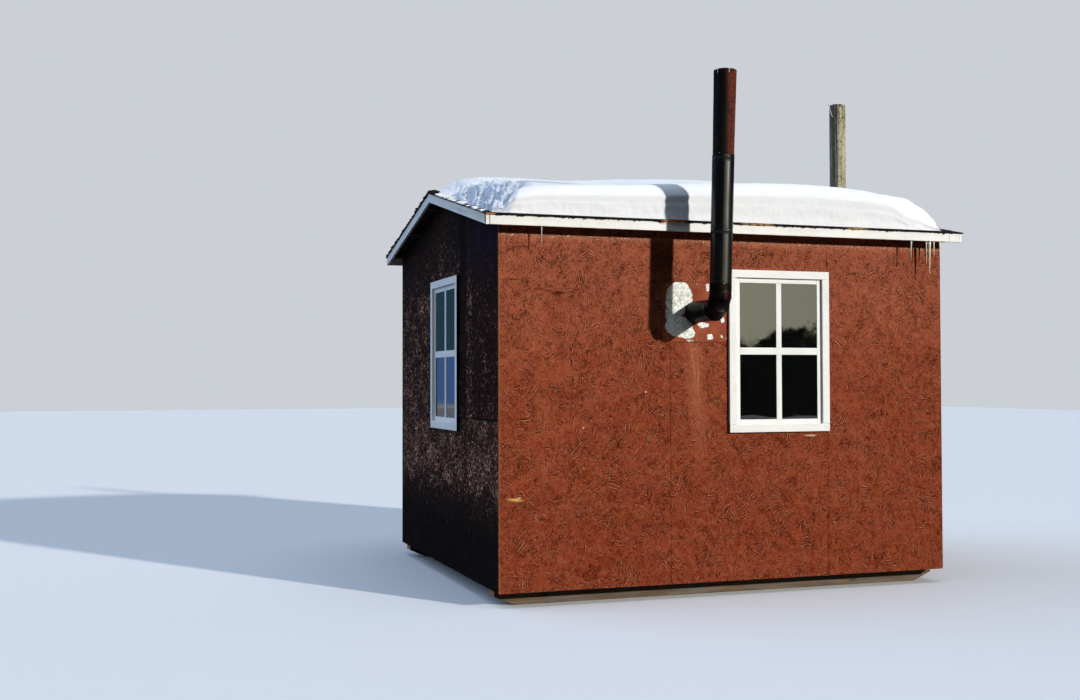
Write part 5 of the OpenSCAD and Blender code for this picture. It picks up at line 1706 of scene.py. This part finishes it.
def nail_rows():
    """Rows of nails up each joint and each edge of the sheets, about 200 mm apart."""
    spots = []
    rng = random.Random(17)
    right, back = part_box("right_sheets")[1][0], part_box("back_sheets")[1][1]
    for x in (0.03, 0.629, 1.195, 1.245, 2.415, 2.465, 2.90, 3.365):
        z = 0.18
        while z < 2.42:
            p = at(x, 0, z + rng.uniform(-0.02, 0.02))
            spots.append(nail((p.x + rng.uniform(-0.004, 0.004), corner_y, p.z), "front"))
            by_the_door = 1.28 < x < 2.12 and 0.2 < z < 2.12
            if not by_the_door:
                spots.append(nail((p.x, back, p.z), "back"))
            z += 0.2
    for y in (0.035, 0.62, 0.675, 1.84, 1.90, 2.35, 2.825):
        z = 0.18
        while z < 2.42:
            p = at(0, y, z + rng.uniform(-0.02, 0.02))
            spots.append(nail((corner_x, p.y, p.z), "left"))
            spots.append(nail((right, p.y, p.z), "right"))
            z += 0.2
    return spots


def nail_finish():
    m, t, b = finish("painted_nail", 0.6, 0.2)
    where = in_place(t)
    c = mix(t, span(t, cloud(t, where, 30.0, 3.0), 0.4, 0.6), paint(108, 58, 44), paint(70, 40, 32))
    wire(t, c, b.inputs["Base Color"])
    wire(t, bump(t, cloud(t, where, 300.0, 2.0), 0.0003, 0.5), b.inputs["Normal"])
    return m


scatter("sheet_nails", "painted_sheet", dome_mesh(8), nail_rows(), nail_finish(), 0.0030, 0.08, 93)


def trim_nails():
    """Nails in the casings, in pairs along the front fascia, and up both rake boards."""
    spots = []
    for side, axis in (("front", 0), ("left", 1)):
        lo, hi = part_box(side + "_casing")
        for a in (lo[axis] + 0.027, hi[axis] - 0.027):
            for k in range(4):
                z = lo[2] + 0.03 + (hi[2] - lo[2] - 0.06) * k / 3
                spots.append(nail((a, lo[1], z) if side == "front" else (lo[0], a, z), side))
    lo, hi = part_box("fascia_front")
    for k in range(7):
        x = lo[0] + 0.05 + (hi[0] - lo[0] - 0.1) * k / 6
        for dz in (0.016, 0.048):
            spots.append(nail((x + 0.004 * k, lo[1], lo[2] + dz), "front"))
    lo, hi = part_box("rake_left")
    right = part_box("rake_right")[1][0]
    mid = (lo[1] + hi[1]) / 2
    for k in range(6):
        y = lo[1] + 0.03 + (mid - lo[1] - 0.08) * k / 5
        z = lo[2] + 0.034 + (y - lo[1]) * math.tan(pitch)
        for slope_y in (y, 2 * mid - y):
            spots.append(nail((lo[0], slope_y, z), "left"))
            spots.append(nail((right, slope_y, z), "right"))
    return spots


scatter("trim_nails", "white_paint", dome_mesh(8), trim_nails(), bright, 0.0026, 0.08, 95)
plate_spots = []
for x, z in ((1.20, 1.77), (1.20, 2.13), (1.64, 2.13), (1.64, 1.77),
             (1.42, 2.14), (1.42, 1.76), (1.19, 1.95), (1.65, 1.95)):
    p = at(x, 0, z)
    plate_spots.append(nail((p.x, plate_lo.y, p.z), "front"))
scatter("plate_nails", "plate_metal", dome_mesh(8), plate_spots, bright, 0.0042, 0.05, 97)


# STUDIO: a plain pale floor, a key lamp like a low sun from the front right, a surround that
# is pale to the camera and blue on the shaded side, and the camera of the photograph.
def studio():
    scene = bpy.context.scene
    m, t, b = finish("floor_pale", 0.9, spec=0.1)
    rays = put(t, "ShaderNodeLightPath").outputs
    c = mix(t, rays["Is Glossy Ray"], (0.050, 0.052, 0.057, 1), (0.36, 0.36, 0.34, 1))
    wire(t, mix(t, rays["Is Camera Ray"], c, (0.80, 0.815, 0.83, 1)), b.inputs["Base Color"])
    square = form("studio_floor", [(-40, -40, 0), (40, -40, 0), (40, 60, 0), (-40, 60, 0)], [(0, 1, 2, 3)])
    floor = bpy.data.objects.new("studio_floor", square)
    floor.data.materials.append(m)
    scene.collection.objects.link(floor)
    world = bpy.data.worlds.new("pale_surround")
    scene.world = world
    world.use_nodes = True
    w = world.node_tree
    back = w.nodes["Background"]
    path = put(w, "ShaderNodeLightPath").outputs
    seen = calc(w, "MAXIMUM", path["Is Camera Ray"], path["Is Transmission Ray"])
    away = put(w, "ShaderNodeTexCoord").outputs["Generated"]
    toward = parts(w, away)
    # What the panes and the enamel mirror: dark low ground, a pale sky ahead, blue distance behind.
    low_line = times(w, cloud(w, away, 16.0, 6.0, 0.75), 0.055)
    low_line = plus(w, low_line, span(w, toward[0], 0.468, 0.492, 0.003, 0.013))
    above = span(w, minus(w, toward[2], low_line), -0.002, 0.002)
    ahead = times(w, span(w, toward[1], -0.45, -0.97), span(w, toward[0], -0.12, -0.04), clamp=True)
    behind = span(w, toward[1], 0.30, 0.55)
    mirrored = mix(w, ahead, (0.004, 0.004, 0.005, 1), (2.35, 2.30, 1.72, 1))
    mirrored = mix(w, above, (0.004, 0.004, 0.005, 1), mirrored)
    ragged_line = plus(w, toward[2], times(w, cloud(w, away, 30.0, 5.0, 0.7), 0.02))
    distance = mix(w, span(w, ragged_line, 0.030, 0.034), (0.10, 0.24, 0.60, 1), (0.035, 0.10, 0.16, 1))
    distance = mix(w, span(w, ragged_line, -0.008, -0.012), distance, (0.50, 0.50, 0.47, 1))
    mirrored = mix(w, behind, mirrored, distance)
    # What lights the shaded sides: blue from the window gable's side, some from above.
    sky = span(w, toward[2], 0.05, 0.70, 0.75, 0.95)
    soft = mix(w, span(w, toward[0], -0.15, -0.75), (0.26, 0.30, 0.37, 1), (1.34, 1.73, 2.40, 1))
    soft = mix(w, 1.0, soft, whole(w, sky, sky, sky), "MULTIPLY")
    overhead = mix(w, span(w, toward[2], 0.84, 0.93), (0.010, 0.012, 0.016, 1), (2.3, 2.75, 3.4, 1))
    soft = mix(w, span(w, toward[1], 0.0, -0.15), soft, overhead)
    lit = mix(w, path["Is Glossy Ray"], soft, mirrored)
    wire(w, mix(w, seen, lit, (0.60, 0.63, 0.67, 1)), back.inputs["Color"])
    key = bpy.data.objects.new("key_lamp", bpy.data.lights.new("key_lamp", "SUN"))
    key.data.energy = 3.38
    key.data.angle = math.radians(2)
    key.data.color = (1.0, 0.965, 0.91)
    az, el = math.radians(34), math.radians(19.0)
    to_lamp = Vector((math.sin(az) * math.cos(el), -math.cos(az) * math.cos(el), math.sin(el)))
    key.rotation_euler = to_lamp.to_track_quat("Z", "Y").to_euler()
    scene.collection.objects.link(key)
    cam = bpy.data.objects.new("camera", bpy.data.cameras.new("camera"))
    cam.data.sensor_width = 36
    cam.data.lens = 42.41
    cam.location = (-4.1651, -9.16745, 1.48)
    heading = Matrix.Rotation(math.radians(-18.70), 3, "Z")
    tilt = Matrix.Rotation(math.radians(91.388), 3, "X")
    roll = Matrix.Rotation(-0.0023, 3, "Z")
    cam.rotation_euler = (heading @ tilt @ roll).to_euler()
    scene.collection.objects.link(cam)
    scene.camera = cam
    scene.view_settings.view_transform = "Standard"


studio()
